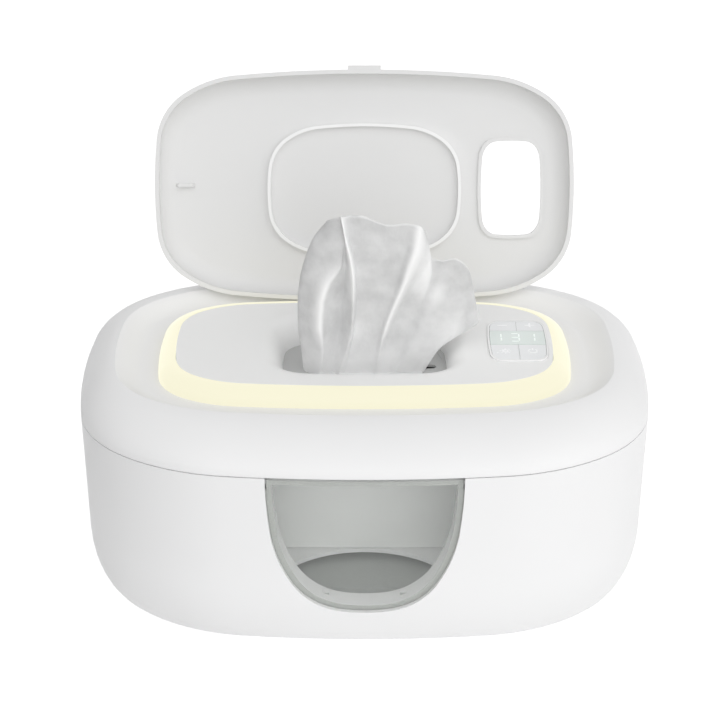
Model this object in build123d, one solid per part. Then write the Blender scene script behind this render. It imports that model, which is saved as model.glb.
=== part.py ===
from build123d import *
import os
from math import cos, sin, sqrt, pi, hypot, atan2, degrees

# Baby wipe warmer with a round-cornered body, a top cover that hinges open for
# refilling, a lid over the dispensing mouth and four push keys.
# Millimetres. The origin is at the table, under the middle of the body.
# +Z is up, -Y is the front with the window, +Y is the hinge side.

# ---- body ----
BODY_WIDTH = 275.0
BODY_DEPTH = 206.0
BODY_POWER = 3.0            # how square the oval outline is
SEAM_HEIGHT = 97.4
SEAM_GAP = 0.5
SHELL_WALL = 2.4
FOOT_PROUD = 1.0
BOTTOM_ROUND_IN = 18.3      # reach of the rounded lower edge, inwards
BOTTOM_ROUND_UP = 36.4      # and upwards
SIDE_DRAFT = 3.0
FIT_GAP = 0.3               # between pieces that are dropped in beside each other
SLIDE_FIT = 0.15            # between a key and its surround
PIN_FIT = 0.05              # radial running fit of a hinge pin

# ---- shoulder and recess of the upper shell ----
CREST_RISE = 6.0            # crest above the recess floor
CREST_REACH = 13.0          # crest outside the recess
CREST_POWER = 3.13
SHOULDER_POWER = 1.25
RECESS_RISE = 12.2          # recess floor above the seam
RECESS_SIDE_ROOM = 7.7      # recess floor outside the light ring
RECESS_END_ROOM = 5.0
RECESS_POWER = 3.6
RECESS_SLOPE_POWER = 1.3

# ---- light ring and deck ----
RING_WIDTH = 200.0
RING_DEPTH = 111.6
RING_POWER = 3.6
RING_ROUND = 8.5
RING_WALL = 1.8
RING_SEAT = 2.0             # how far the ring stands on the recess floor
DECK_RISE = 7.9             # deck above the recess floor
DECK_WALL = 2.2
DECK_SKIRT_WALL = 1.8
LED_SHELF_DROP = 6.0        # below the recess floor
LED_SHELF_THICKNESS = 1.8
LED_BOARD_THICKNESS = 1.6
LED_COUNT = 28
LED_SIZE = 3.0
LED_THICKNESS = 1.2

# ---- dispensing mouth ----
MOUTH_WIDTH = 100.0
MOUTH_DEPTH = 74.0
MOUTH_POWER = 4.0
MOUTH_ROLL_IN = 10.0
MOUTH_ROLL_DOWN = 13.0
MOUTH_WALL = 1.8
MEMBRANE_THICKNESS = 1.2
SLIT_LENGTH = 58.0
SLIT_WIDTH = 7.0

# ---- control panel ----
PANEL_SIDE_ROOM = 3.15      # from the panel to the deck's end
PANEL_Y = 1.5
PANEL_WIDTH = 27.2
PANEL_DEPTH = 43.2
PANEL_POWER = 5.0
PANEL_PROUD = 0.6           # bezel above the deck
BEZEL_WIDTH = 1.0
BEZEL_THICKNESS = 1.0
FACE_DROP = 0.1             # keys and display below the bezel's rim
DISPLAY_BEHIND = 10.4       # display band behind the panel's middle
DISPLAY_AHEAD = 4.7         # and in front of it
DISPLAY_LENS_THICKNESS = 1.6
DISPLAY_MODULE_IN = 2.6     # module inside the panel's sides
DISPLAY_MODULE_SHORT = 3.1  # module narrower than the display band
KEY_THICKNESS = 2.0
KEY_SPLIT = 0.35
KEY_TRAVEL = 0.5
KEY_STEM_RADIUS = 1.5
SWITCH_SIZE = 6.0
SWITCH_HEIGHT = 3.0
SWITCH_CAP_RADIUS = 1.6
PANEL_BOARD_IN = 2.6        # board inside the panel's sides
PANEL_BOARD_OVER = 3.9      # and beyond its ends
BOARD_THICKNESS = 1.6
PANEL_POST_RADIUS = 1.5
PANEL_POST_IN = 1.5         # post inside the board's sides
PANEL_POST_OVER = 1.9       # and beyond the panel's ends
PANEL_POST_LENGTH = 4.1

# ---- lid, drawn closed and then turned to its open rest ----
LID_SIDE_REACH = 6.0        # lid outside the light ring
LID_END_REACH = 2.7
LID_POWER = 3.6
LID_RIM_RISE = 2.0          # closed lid's rim above the recess floor
LID_EDGE = 0.6              # upright part below the rounding
LID_ROUND = 11.0
LID_WALL = 2.0
LID_OPEN_ANGLE = 110.0
LID_HOLE_GAP = 0.7          # beside the control panel, each side
LID_HOLE_END_GAP = 1.4
LID_HOLE_LIP = 1.7
LID_HOLE_LIP_DEPTH = 1.4
LID_HINGE_OUT = 3.2         # axis behind the light ring
LID_HINGE_RISE = 2.4        # and above the recess floor
LID_HINGE_X = 21.0
LID_KNUCKLE_LENGTH = 9.0
LID_KNUCKLE_RADIUS = 2.1
LID_EAR_WIDTH = 4.0
LID_PIN_RADIUS = 1.0
HINGE_SIDE_GAP = 0.4
LID_TAB_WIDTH = 16.6
LID_TAB_PROUD = 2.0
LID_TAB_HEIGHT = 2.6
STRIKER_IN = 15.0           # from the lid's left end
STRIKER_RADIUS = 4.6
STRIKER_THICKNESS = 1.6
STRIKER_GAP = 0.7           # above the deck when the lid is shut
SEAL_Y = 2.3
SEAL_SIDE_IN = 0.8          # seal inside the mouth's outline
SEAL_END_IN = 3.3
SEAL_POWER = 3.0
SEAL_THICKNESS = 1.5
SEAL_DECK_GAP = 0.3

# ---- cover hinge at the back of the seam ----
COVER_HINGE_OUT = 2.4       # axis beyond the body's back
COVER_HINGE_X = 32.0
COVER_KNUCKLE_LENGTH = 12.0
COVER_KNUCKLE_RADIUS = 3.2
COVER_EAR_WIDTH = 6.0
COVER_PIN_RADIUS = 1.5
KNUCKLE_NOTCH_GAP = 0.4

# ---- cover liner and its fasteners ----
LINER_RISE = 0.5            # above the seam
LINER_THICKNESS = 2.0
COVER_TOWER_RADIUS = 3.2
COVER_TOWER_SIDE_OUT = 3.5  # towers outside the light ring
COVER_TOWER_END_OUT = 3.2
COVER_TOWER_CORNER_IN = 26.0
SCREW_RADIUS = 1.4
SCREW_HEAD_RADIUS = 2.7
SCREW_HEAD_THICKNESS = 1.5
SCREW_LENGTH = 6.5

# ---- tank ----
TANK_SIDE_ROOM = 12.5       # between the tank's rim and the body's outside
TANK_END_ROOM = 12.0
TANK_DRAFT = 4.0
TANK_WALL = 1.8
SOCKET_HEADROOM = 0.4       # between the power socket and the tank's floor
TANK_FLANGE_DROP = 4.3      # flange's underside below the seam
TANK_FLANGE_THICKNESS = 2.0
LEDGE_WIDTH = 3.4
LEDGE_THICKNESS = 2.1
RIM_SEAL_WIDTH = 3.0
TOWER_RADIUS = 4.0
TOWER_IN = 12.0             # from the base plate's sides
TOWER_Y = 28.0

# ---- window ----
WINDOW_WIDTH = 91.4         # along the seam
WINDOW_BOTTOM = 25.0
WINDOW_POWER = 2.5          # how full its rounded bottom is
PANE_THICKNESS = 2.2
PANE_GAP = 0.25
FRAME_INSET = 0.6
FRAME_WALL = 2.2
FRAME_FLANGE = 4.0
FRAME_FLANGE_THICKNESS = 1.6
FRAME_FLANGE_DROP = 3.1     # below the tank's flange
FRAME_REACH = 4.5           # frame's back inside the tank's front
FRAME_CLIP_X = 19.0
FRAME_CLIP_WIDTH = 5.0
FRAME_CLIP_DEPTH = 3.0
FRAME_CLIP_HEIGHT = 4.0
FRAME_CLIP_IN = 12.0

# ---- inside the tank ----
TRAY_RISE = 6.2             # underside of the tray above the tank's floor
TRAY_THICKNESS = 2.0
TRAY_GAP = 1.2
TRAY_NOTCH_RADIUS = 48.5
TRAY_NOTCH_OUT = 6.0        # notch centre in front of the tank
TRAY_SLOT_LENGTH = 26.0
TRAY_SLOT_WIDTH = 3.0
TRAY_SLOT_PITCH = 18.0
TRAY_SLOT_COLUMNS = 9
TRAY_SLOT_ROWS = (-12.0, 26.0)
TRAY_LEG_RADIUS = 4.0
TRAY_LEG_SIDE_IN = 32.0     # from the tank's sides
TRAY_LEG_END_IN = 39.0
PAD_ROOM = 14.0             # between the pad and the tank's rim, all round
PAD_THICKNESS = 2.8
PACK_SIDE_ROOM = 33.0       # from the tank's rim
PACK_FRONT_ROOM = 43.0
PACK_BACK_ROOM = 29.0
PACK_HEIGHT = 52.0
PACK_ROUND = 5.0

# ---- heater ----
HEATER_SIDE_ROOM = 12.0     # between the heater and the screw towers
HEATER_BOARD_ROOM = 4.0     # and the main board
HEATER_PLATE_THICKNESS = 1.6
HEATER_FILM_THICKNESS = 0.6
HEATER_FILM_INSET = 2.0
INSULATION_THICKNESS = 6.0
INSULATION_INSET = 1.0
FUSE_RADIUS = 1.8
FUSE_LENGTH = 12.0
FUSE_X = 40.0
THERMISTOR_RADIUS = 1.5
THERMISTOR_LENGTH = 5.0
THERMISTOR_X = -40.0
SENSOR_POCKET_GAP = 1.5

# ---- base plate, feet and power board ----
BASE_SIDE_ROOM = 33.5       # base plate inside the body's outline
BASE_END_ROOM = 25.0
FOOT_RADIUS = 7.0
FOOT_SEAT = 1.0
FOOT_SIDE_IN = 28.0         # from the base plate's sides
FOOT_END_IN = 32.0
BOARD_X = -5.0
BOARD_IN = 34.0             # board's middle in front of the body's back
BOARD_WIDTH = 80.0
BOARD_DEPTH = 30.0
BOARD_POST_X = 36.0
BOARD_POST_AHEAD = 11.0     # posts in front of the board's middle
BOARD_POST_BEHIND = 3.5
BOARD_STANDOFF = 3.6
BOARD_POST_RADIUS = 2.5
BOARD_SCREW_RADIUS = 1.1
BOARD_SCREW_HEAD = 2.1
SOCKET_X = -22.0
SOCKET_WIDTH = 10.0
SOCKET_HEIGHT = 11.0
SOCKET_LENGTH = 12.0
SOCKET_COLLAR_LENGTH = 5.6
SOCKET_COLLAR_RADIUS = 4.2
SOCKET_IN = 9.4             # collar's end in front of the body's back
SOCKET_BORE_RADIUS = 2.8
SOCKET_BORE_DEPTH = 9.5
SOCKET_PIN_RADIUS = 1.0

# ---- wipe that stands in the mouth ----
WIPE_MID_LENGTH = 72.0
WIPE_MID_WIDTH = 20.0
WIPE_TOP_LENGTH = 66.0
WIPE_TOP_WIDTH = 14.0
WIPE_BOTTOM_DROP = 5.5      # below the throat
WIPE_NECK_RISE = 4.0        # above the throat
WIPE_MID_RISE = 32.5        # above the deck
WIPE_TOP_RISE = 72.5
WIPE_X = 6.0
WIPE_POWER = 2.4

# ---- worked out from the sizes above ----
BASE_HEIGHT = FOOT_PROUD
BASE_TOP = BASE_HEIGHT + SHELL_WALL
LOWER_TOP = SEAM_HEIGHT - SEAM_GAP / 2
UPPER_BOTTOM = SEAM_HEIGHT + SEAM_GAP / 2
COVER_HINGE_Y = BODY_DEPTH / 2 + COVER_HINGE_OUT
BASE_WIDTH = BODY_WIDTH - 2 * BASE_SIDE_ROOM
BASE_DEPTH = BODY_DEPTH - 2 * BASE_END_ROOM
FOOT_X = BASE_WIDTH / 2 - FOOT_SIDE_IN
FOOT_Y = BASE_DEPTH / 2 - FOOT_END_IN
TOWER_X = BASE_WIDTH / 2 - TOWER_IN
BOARD_TOP = BASE_TOP + BOARD_STANDOFF + BOARD_THICKNESS
BOARD_Y = BODY_DEPTH / 2 - BOARD_IN
SOCKET_COLLAR_END = BODY_DEPTH / 2 - SOCKET_IN
SOCKET_BACK = SOCKET_COLLAR_END - SOCKET_COLLAR_LENGTH
SOCKET_FRONT = SOCKET_BACK - SOCKET_LENGTH
TANK_WIDTH = BODY_WIDTH - 2 * TANK_SIDE_ROOM
TANK_DEPTH = BODY_DEPTH - 2 * TANK_END_ROOM
TANK_FLOOR_HEIGHT = BOARD_TOP + SOCKET_HEIGHT + SOCKET_HEADROOM
TANK_FLOOR_TOP = TANK_FLOOR_HEIGHT + TANK_WALL
TANK_FLANGE_HEIGHT = SEAM_HEIGHT - TANK_FLANGE_DROP
FRAME_FLANGE_TOP = TANK_FLANGE_HEIGHT - FRAME_FLANGE_DROP
FRAME_BACK_Y = FRAME_REACH - TANK_DEPTH / 2
TRAY_HEIGHT = TANK_FLOOR_TOP + TRAY_RISE
TRAY_TOP = TRAY_HEIGHT + TRAY_THICKNESS
TRAY_NOTCH_Y = -TANK_DEPTH / 2 - TRAY_NOTCH_OUT
TRAY_LEG_X = TANK_WIDTH / 2 - TRAY_LEG_SIDE_IN
TRAY_LEG_Y = TANK_DEPTH / 2 - TRAY_LEG_END_IN
PACK_WIDTH = TANK_WIDTH - 2 * PACK_SIDE_ROOM
PACK_FRONT = PACK_FRONT_ROOM - TANK_DEPTH / 2
PACK_BACK = TANK_DEPTH / 2 - PACK_BACK_ROOM
HEATER_WIDTH = 2 * (TOWER_X - HEATER_SIDE_ROOM)
HEATER_DEPTH = 2 * (BOARD_Y - BOARD_DEPTH / 2 - HEATER_BOARD_ROOM)
LINER_HEIGHT = SEAM_HEIGHT + LINER_RISE
LINER_TOP = LINER_HEIGHT + LINER_THICKNESS
RECESS_HEIGHT = SEAM_HEIGHT + RECESS_RISE
RECESS_WIDTH = RING_WIDTH + 2 * RECESS_SIDE_ROOM
RECESS_DEPTH = RING_DEPTH + 2 * RECESS_END_ROOM
CREST_HEIGHT = RECESS_HEIGHT + CREST_RISE
CREST_WIDTH = RECESS_WIDTH + 2 * CREST_REACH
CREST_DEPTH = RECESS_DEPTH + 2 * CREST_REACH
DECK_HEIGHT = RECESS_HEIGHT + DECK_RISE
LED_SHELF_HEIGHT = RECESS_HEIGHT - LED_SHELF_DROP
THROAT_HEIGHT = DECK_HEIGHT - MOUTH_ROLL_DOWN
PANEL_X = RING_WIDTH / 2 - RING_ROUND - SLIDE_FIT - PANEL_SIDE_ROOM - PANEL_WIDTH / 2
PANEL_HEIGHT = DECK_HEIGHT + PANEL_PROUD
PANEL_BOARD_TOP = DECK_HEIGHT - DECK_WALL - PANEL_POST_LENGTH
PANEL_BOARD_WIDTH = PANEL_WIDTH - 2 * PANEL_BOARD_IN
PANEL_BOARD_DEPTH = PANEL_DEPTH + 2 * PANEL_BOARD_OVER
PANEL_POST_X = PANEL_BOARD_WIDTH / 2 - PANEL_POST_IN
PANEL_POST_Y = PANEL_DEPTH / 2 + PANEL_POST_OVER
DISPLAY_BACK = PANEL_Y + DISPLAY_BEHIND
DISPLAY_FRONT = PANEL_Y - DISPLAY_AHEAD
LID_WIDTH = RING_WIDTH + 2 * LID_SIDE_REACH
LID_DEPTH = RING_DEPTH + 2 * LID_END_REACH
LID_RIM_HEIGHT = RECESS_HEIGHT + LID_RIM_RISE
LID_TOP_HEIGHT = LID_RIM_HEIGHT + LID_EDGE + LID_ROUND
LID_HINGE_Y = RING_DEPTH / 2 + LID_HINGE_OUT
LID_HINGE_Z = RECESS_HEIGHT + LID_HINGE_RISE
STRIKER_X = STRIKER_IN - LID_WIDTH / 2
STRIKER_DROP = LID_TOP_HEIGHT - LID_WALL - DECK_HEIGHT - STRIKER_GAP
SEAL_WIDTH = MOUTH_WIDTH - 2 * SEAL_SIDE_IN
SEAL_DEPTH = MOUTH_DEPTH - 2 * SEAL_END_IN
WIPE_NECK_LENGTH = SLIT_LENGTH - 2 * FIT_GAP
WIPE_NECK_WIDTH = SLIT_WIDTH - 2 * FIT_GAP
LONG_ARC_TURN = 10.0        # degrees of the normal at each end of an oval's long arcs
ROUND_STEPS = 8


def outline_point(half_x, half_y, power, turn):
    """Point of |x/a|^n + |y/b|^n = 1 whose outward normal is turn degrees from +Y."""
    across, along = half_x * sin(turn * pi / 180), half_y * cos(turn * pi / 180)
    grade = power / (power - 1)
    reach = (across ** grade + along ** grade) ** (1 / power)
    return Vector(half_x * across ** (grade - 1) / reach, half_y * along ** (grade - 1) / reach)


def arc_middle(start, heading, end):
    """Middle of the arc that leaves start along heading and reaches end."""
    chord = end - start
    inward = Vector(-heading.Y, heading.X)
    radius = chord.dot(chord) / (2 * chord.dot(inward))
    centre = start + inward * radius
    return centre + ((start + end) * 0.5 - centre).normalized() * abs(radius)


def corner(half_x, half_y, power):
    """One corner as two tangent arcs: start, middle, joint, middle, end."""
    start = outline_point(half_x, half_y, power, LONG_ARC_TURN)
    end = outline_point(half_x, half_y, power, 90 - LONG_ARC_TURN)
    flat_radius = (start.X ** 2 + (half_y - start.Y) ** 2) / (2 * (half_y - start.Y))
    side_radius = (end.Y ** 2 + (half_x - end.X) ** 2) / (2 * (half_x - end.X))
    leave = Vector(start.Y - half_y + flat_radius, -start.X).normalized()
    arrive = Vector(end.Y, half_x - end.X - side_radius).normalized()
    chord, both = end - start, leave + arrive
    bend = 2 * (1 - leave.dot(arrive))
    pull = (sqrt(chord.dot(both) ** 2 + bend * chord.dot(chord)) - chord.dot(both)) / bend
    joint = (start + end + (leave - arrive) * pull) * 0.5
    return [start, arc_middle(start, leave, joint), joint, arc_middle(end, arrive * -1, joint), end]


def oval(half_x, half_y, power, z, x=0.0, y=0.0):
    """Closed oval of twelve tangent arcs, close to |x/a|^n + |y/b|^n = 1."""
    points = corner(half_x, half_y, power)
    sides = [(x + half_x, y, z), (x, y - half_y, z), (x - half_x, y, z), (x, y + half_y, z)]
    corners = []
    for flip_x, flip_y in ((1, 1), (1, -1), (-1, -1), (-1, 1)):
        placed = [(x + flip_x * p.X, y + flip_y * p.Y, z) for p in points]
        corners.append(placed if flip_x == flip_y else placed[::-1])
    edges = []
    for k, turn in enumerate(corners):
        after = corners[(k + 1) % 4]
        edges.append(ThreePointArc(turn[0], turn[1], turn[2]).edge())
        edges.append(ThreePointArc(turn[2], turn[3], turn[4]).edge())
        edges.append(ThreePointArc(turn[4], sides[k], after[0]).edge())
    return Wire(edges)


def oval_block(width, depth, power, low, high, x=0.0, y=0.0):
    face = Face(oval(width / 2, depth / 2, power, low, x, y))
    return Solid.extrude(face, Vector(0, 0, high - low))


def stack(profile):
    """Solid through ovals given as (half_x, half_y, power, z)."""
    return Solid.make_loft([oval(*section) for section in profile], ruled=True)


def offset_profile(profile, distance):
    """The same profile moved inwards along its own normal."""
    moved = []
    for k, (half_x, half_y, power, z) in enumerate(profile):
        before = profile[max(k - 1, 0)]
        after = profile[min(k + 1, len(profile) - 1)]
        rise = after[3] - before[3]
        shift = []
        for axis in (0, 1):
            run = after[axis] - before[axis]
            length = hypot(run, rise)
            shift.append((rise / length, -run / length))
        drop = (shift[0][1] + shift[1][1]) / 2
        moved.append((half_x - distance * shift[0][0], half_y - distance * shift[1][0],
                      power, z - distance * drop))
    return moved


def block(width, depth, low, high, x=0.0, y=0.0):
    return Pos(x, y, (low + high) / 2) * Box(width, depth, high - low)


def post(radius, low, high, x=0.0, y=0.0):
    return Pos(x, y, (low + high) / 2) * Cylinder(radius, high - low)


def rod(radius, length, x, y, z):
    """Cylinder along X."""
    return Pos(x, y, z) * Rot(0, 90, 0) * Cylinder(radius, length)


def join(shapes):
    total = shapes[0]
    for shape in shapes[1:]:
        total = total + shape
    return total


def mirrored_pairs(x, y):
    return [(-x, -y), (x, -y), (-x, y), (x, y)]


# ---- body surfaces ----

def body_inset(z):
    """How far the side stands in from the widest outline at height z."""
    draft = SIDE_DRAFT * (SEAM_HEIGHT - z) / (SEAM_HEIGHT - BASE_HEIGHT)
    below = BASE_HEIGHT + BOTTOM_ROUND_UP - z
    if below <= 0:
        return draft
    share = min(below / BOTTOM_ROUND_UP, 1.0)
    return draft + BOTTOM_ROUND_IN * (1 - sqrt(1 - share ** 2))


def body_profile(inset, low, high):
    """Sections of the lower body, set in by inset, from low to high."""
    round_top = BASE_HEIGHT + BOTTOM_ROUND_UP
    levels = [low + (round_top - low) * (1 - cos(pi / 2 * k / ROUND_STEPS))
              for k in range(ROUND_STEPS + 1)]
    levels.append(high)
    return [(BODY_WIDTH / 2 - body_inset(z) - inset, BODY_DEPTH / 2 - body_inset(z) - inset,
             BODY_POWER, z) for z in levels]


def body_block(inset, low=BASE_HEIGHT, high=LOWER_TOP):
    return stack(body_profile(inset, low, high))


def crown_profile():
    """Sections over the shoulder, the crest and down to the recess floor."""
    sections = [(BODY_WIDTH / 2, BODY_DEPTH / 2, BODY_POWER, UPPER_BOTTOM)]
    start = UPPER_BOTTOM + 2.0
    for k in range(ROUND_STEPS + 1):
        turn = pi / 2 * k / ROUND_STEPS
        share = 1 - max(cos(turn), 0.0) ** SHOULDER_POWER
        z = start + (CREST_HEIGHT - start) * sin(turn) ** SHOULDER_POWER
        sections.append((BODY_WIDTH / 2 - (BODY_WIDTH - CREST_WIDTH) / 2 * share,
                         BODY_DEPTH / 2 - (BODY_DEPTH - CREST_DEPTH) / 2 * share,
                         BODY_POWER + (CREST_POWER - BODY_POWER) * share, z))
    for k in range(1, ROUND_STEPS + 1):
        share = k / ROUND_STEPS
        drop = sin(pi / 2 * share) ** RECESS_SLOPE_POWER
        sections.append((CREST_WIDTH / 2 - (CREST_WIDTH - RECESS_WIDTH) / 2 * share,
                         CREST_DEPTH / 2 - (CREST_DEPTH - RECESS_DEPTH) / 2 * share,
                         CREST_POWER + (RECESS_POWER - CREST_POWER) * share,
                         CREST_HEIGHT - (CREST_HEIGHT - RECESS_HEIGHT) * drop))
    return sections


def cover_hinge_cylinder(radius, length, x):
    return rod(radius, length, x, COVER_HINGE_Y, SEAM_HEIGHT)


def cover_ear_places():
    """Middle of each outer knuckle along X."""
    out = COVER_KNUCKLE_LENGTH / 2 + HINGE_SIDE_GAP + COVER_EAR_WIDTH / 2
    return [side * COVER_HINGE_X + step for side in (-1, 1) for step in (-out, out)]


def cover_knuckle(length, x, low, high):
    """Barrel on the cover's hinge axis with the arm that joins it to a shell."""
    wall_face = BODY_DEPTH / 2 - SHELL_WALL * 0.8
    arm = block(length, COVER_HINGE_Y - wall_face, low, high, x, (COVER_HINGE_Y + wall_face) / 2)
    return arm + cover_hinge_cylinder(COVER_KNUCKLE_RADIUS, length, x)


# ---- window outline ----

def window_block(inset, front, back, top):
    """Prism along Y: the lower half of an oval with its sides carried up to a flat top."""
    half = WINDOW_WIDTH / 2 - inset
    bottom = WINDOW_BOTTOM + inset
    high = SEAM_HEIGHT + WINDOW_OVERRUN
    turns = corner(half, LOWER_TOP - bottom, WINDOW_POWER)
    right = [(p.X, front, LOWER_TOP - p.Y) for p in turns]
    left = [(-x, y, z) for x, y, z in right]
    edges = [ThreePointArc(left[0], (0, front, bottom), right[0]).edge(),
             Line((half, front, high), (-half, front, high)).edge()]
    for x, side in ((half, right), (-half, left)):
        edges.append(ThreePointArc(side[0], side[1], side[2]).edge())
        edges.append(ThreePointArc(side[2], side[3], side[4]).edge())
        edges.append(TangentArc((x, front, LOWER_TOP), side[4], tangent=(0, 0, -1)).edge())
        edges.append(Line((x, front, LOWER_TOP), (x, front, high)).edge())
    prism = Solid.extrude(Face(Wire(edges)), Vector(0, back - front, 0))
    keep = block(2 * half + 2, back - front + 2, bottom - 1, top, 0, (front + back) / 2)
    return prism & keep


WINDOW_FRONT = -BODY_DEPTH / 2 - 5
WINDOW_BACK = -BODY_DEPTH / 2 + 30
WINDOW_OVERRUN = 6.0


# ---- base ----

def tank_profile(inset, low, high):
    sections = []
    for z in (low, high):
        lean = TANK_DRAFT * (TANK_FLANGE_HEIGHT - z) / (TANK_FLANGE_HEIGHT - TANK_FLOOR_HEIGHT)
        sections.append((TANK_WIDTH / 2 - lean - inset, TANK_DEPTH / 2 - lean - inset, BODY_POWER, z))
    return sections


def lower_shell():
    shell = body_block(0) - body_block(SHELL_WALL, BASE_HEIGHT + SHELL_WALL, LOWER_TOP + 1)
    shell -= oval_block(BASE_WIDTH, BASE_DEPTH, BODY_POWER, BASE_HEIGHT - 1, BASE_TOP + 1)
    ledge_top = TANK_FLANGE_HEIGHT
    reach = 2 * SHELL_WALL - 1.0
    ledge = oval_block(BODY_WIDTH - reach, BODY_DEPTH - reach, BODY_POWER,
                       ledge_top - LEDGE_THICKNESS, ledge_top)
    reach = 2 * (SHELL_WALL + LEDGE_WIDTH)
    ledge -= oval_block(BODY_WIDTH - reach, BODY_DEPTH - reach, BODY_POWER,
                        ledge_top - LEDGE_THICKNESS - 1, ledge_top + 1)
    shell += ledge
    shell -= window_block(0, WINDOW_FRONT, WINDOW_BACK, LOWER_TOP + 4)
    shell -= Pos(SOCKET_X, SOCKET_COLLAR_END, socket_height()) * Rot(90, 0, 0) * \
        Cylinder(SOCKET_COLLAR_RADIUS + FIT_GAP, 20)
    for side in (-1, 1):
        shell -= cover_hinge_cylinder(COVER_KNUCKLE_RADIUS + KNUCKLE_NOTCH_GAP,
                                      COVER_KNUCKLE_LENGTH + 2 * HINGE_SIDE_GAP,
                                      side * COVER_HINGE_X)
    for x in cover_ear_places():
        shell += cover_knuckle(COVER_EAR_WIDTH, x, SEAM_HEIGHT - COVER_KNUCKLE_RADIUS, LOWER_TOP)
        shell -= cover_hinge_cylinder(COVER_PIN_RADIUS, COVER_EAR_WIDTH + 1, x)
    return shell


def cover_hinge_pins():
    length = COVER_KNUCKLE_LENGTH + 2 * (HINGE_SIDE_GAP + COVER_EAR_WIDTH)
    return [cover_hinge_cylinder(COVER_PIN_RADIUS, length, side * COVER_HINGE_X)
            for side in (-1, 1)]


def base_plate():
    plate = oval_block(BASE_WIDTH - 2 * FIT_GAP, BASE_DEPTH - 2 * FIT_GAP, BODY_POWER,
                       BASE_HEIGHT, BASE_TOP)
    for x, y in mirrored_pairs(FOOT_X, FOOT_Y):
        plate -= post(FOOT_RADIUS, BASE_HEIGHT - 1, BASE_HEIGHT + FOOT_SEAT, x, y)
    for x, y in mirrored_pairs(TOWER_X, TOWER_Y):
        plate -= post(SCREW_RADIUS + 0.2, BASE_HEIGHT - 1, BASE_TOP + 1, x, y)
        plate -= post(SCREW_HEAD_RADIUS + 0.2, BASE_HEIGHT - 1,
                      BASE_HEIGHT + SCREW_HEAD_THICKNESS, x, y)
    for x, y in board_posts():
        plate += post(BOARD_POST_RADIUS, BASE_TOP - 0.5, BASE_TOP + BOARD_STANDOFF, x, y)
        plate -= post(BOARD_SCREW_RADIUS, BASE_TOP, BASE_TOP + BOARD_STANDOFF + 1, x, y)
    return plate


def rubber_feet():
    feet = []
    for x, y in mirrored_pairs(FOOT_X, FOOT_Y):
        foot = post(FOOT_RADIUS, 0, BASE_HEIGHT + FOOT_SEAT, x, y)
        feet.append(chamfer(foot.edges().group_by(Axis.Z)[0], 0.4))
    return feet


def screw(x, y, head_low, up=SCREW_LENGTH):
    """Pan-head screw that points up, with a cross recess in its head."""
    body = post(SCREW_HEAD_RADIUS, head_low, head_low + SCREW_HEAD_THICKNESS, x, y)
    body += post(SCREW_RADIUS, head_low + SCREW_HEAD_THICKNESS - 0.1,
                 head_low + SCREW_HEAD_THICKNESS + up, x, y)
    for wide, deep in ((2.6, 0.7), (0.7, 2.6)):
        body -= block(wide, deep, head_low - 1, head_low + 0.8, x, y)
    return body


def base_screws():
    return [screw(x, y, BASE_HEIGHT, TANK_FLOOR_HEIGHT - BASE_TOP - 4)
            for x, y in mirrored_pairs(TOWER_X, TOWER_Y)]


def inner_tank():
    tank = stack(tank_profile(0, TANK_FLOOR_HEIGHT, TANK_FLANGE_HEIGHT + TANK_FLANGE_THICKNESS))
    reach = 2 * (SHELL_WALL + FIT_GAP) + 2 * body_inset(TANK_FLANGE_HEIGHT)
    tank += oval_block(BODY_WIDTH - reach, BODY_DEPTH - reach, BODY_POWER,
                       TANK_FLANGE_HEIGHT, TANK_FLANGE_HEIGHT + TANK_FLANGE_THICKNESS)
    tank -= stack(tank_profile(TANK_WALL, TANK_FLOOR_TOP, LOWER_TOP + 4))
    tank -= window_block(FRAME_INSET - FIT_GAP, WINDOW_FRONT, WINDOW_BACK, LOWER_TOP + 4)
    for x, y in mirrored_pairs(TOWER_X, TOWER_Y):
        tank += post(TOWER_RADIUS, BASE_TOP, TANK_FLOOR_HEIGHT + 0.5, x, y)
        tank -= post(SCREW_RADIUS, BASE_TOP - 1, TANK_FLOOR_HEIGHT - 3, x, y)
    return tank


def window_pane():
    skin = body_block(PANE_GAP) - body_block(PANE_GAP + PANE_THICKNESS, BASE_TOP, LOWER_TOP + 1)
    return skin & window_block(PANE_GAP, WINDOW_FRONT, WINDOW_BACK, LOWER_TOP - PANE_GAP)


def window_frame():
    front = PANE_GAP + PANE_THICKNESS + 0.05
    inner = body_block(front)
    depth = FRAME_BACK_Y - WINDOW_FRONT
    top = TANK_FLANGE_HEIGHT + TANK_FLANGE_THICKNESS
    ring = window_block(FRAME_INSET, WINDOW_FRONT, WINDOW_FRONT + depth, top)
    hollow = window_block(FRAME_INSET + FRAME_WALL, WINDOW_FRONT - 1, WINDOW_BACK,
                          top - FRAME_WALL)
    channel = (ring - hollow) & inner
    back = SHELL_WALL + 0.2
    skin = body_block(back) - body_block(back + FRAME_FLANGE_THICKNESS, BASE_TOP, LOWER_TOP + 1)
    flange = skin & window_block(-FRAME_FLANGE, WINDOW_FRONT, WINDOW_BACK, FRAME_FLANGE_TOP)
    frame = channel + (flange - hollow)
    shelf = WINDOW_BOTTOM + FRAME_INSET + FRAME_WALL
    for x in (-FRAME_CLIP_X, FRAME_CLIP_X):
        clip = block(FRAME_CLIP_WIDTH, FRAME_CLIP_DEPTH, shelf - 2, shelf + FRAME_CLIP_HEIGHT,
                     x, -BODY_DEPTH / 2 + FRAME_CLIP_IN)
        frame += clip & window_block(FRAME_INSET + 0.3, WINDOW_FRONT, WINDOW_BACK, top)
    return frame


def tray_legs():
    return mirrored_pairs(TRAY_LEG_X, TRAY_LEG_Y)


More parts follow.
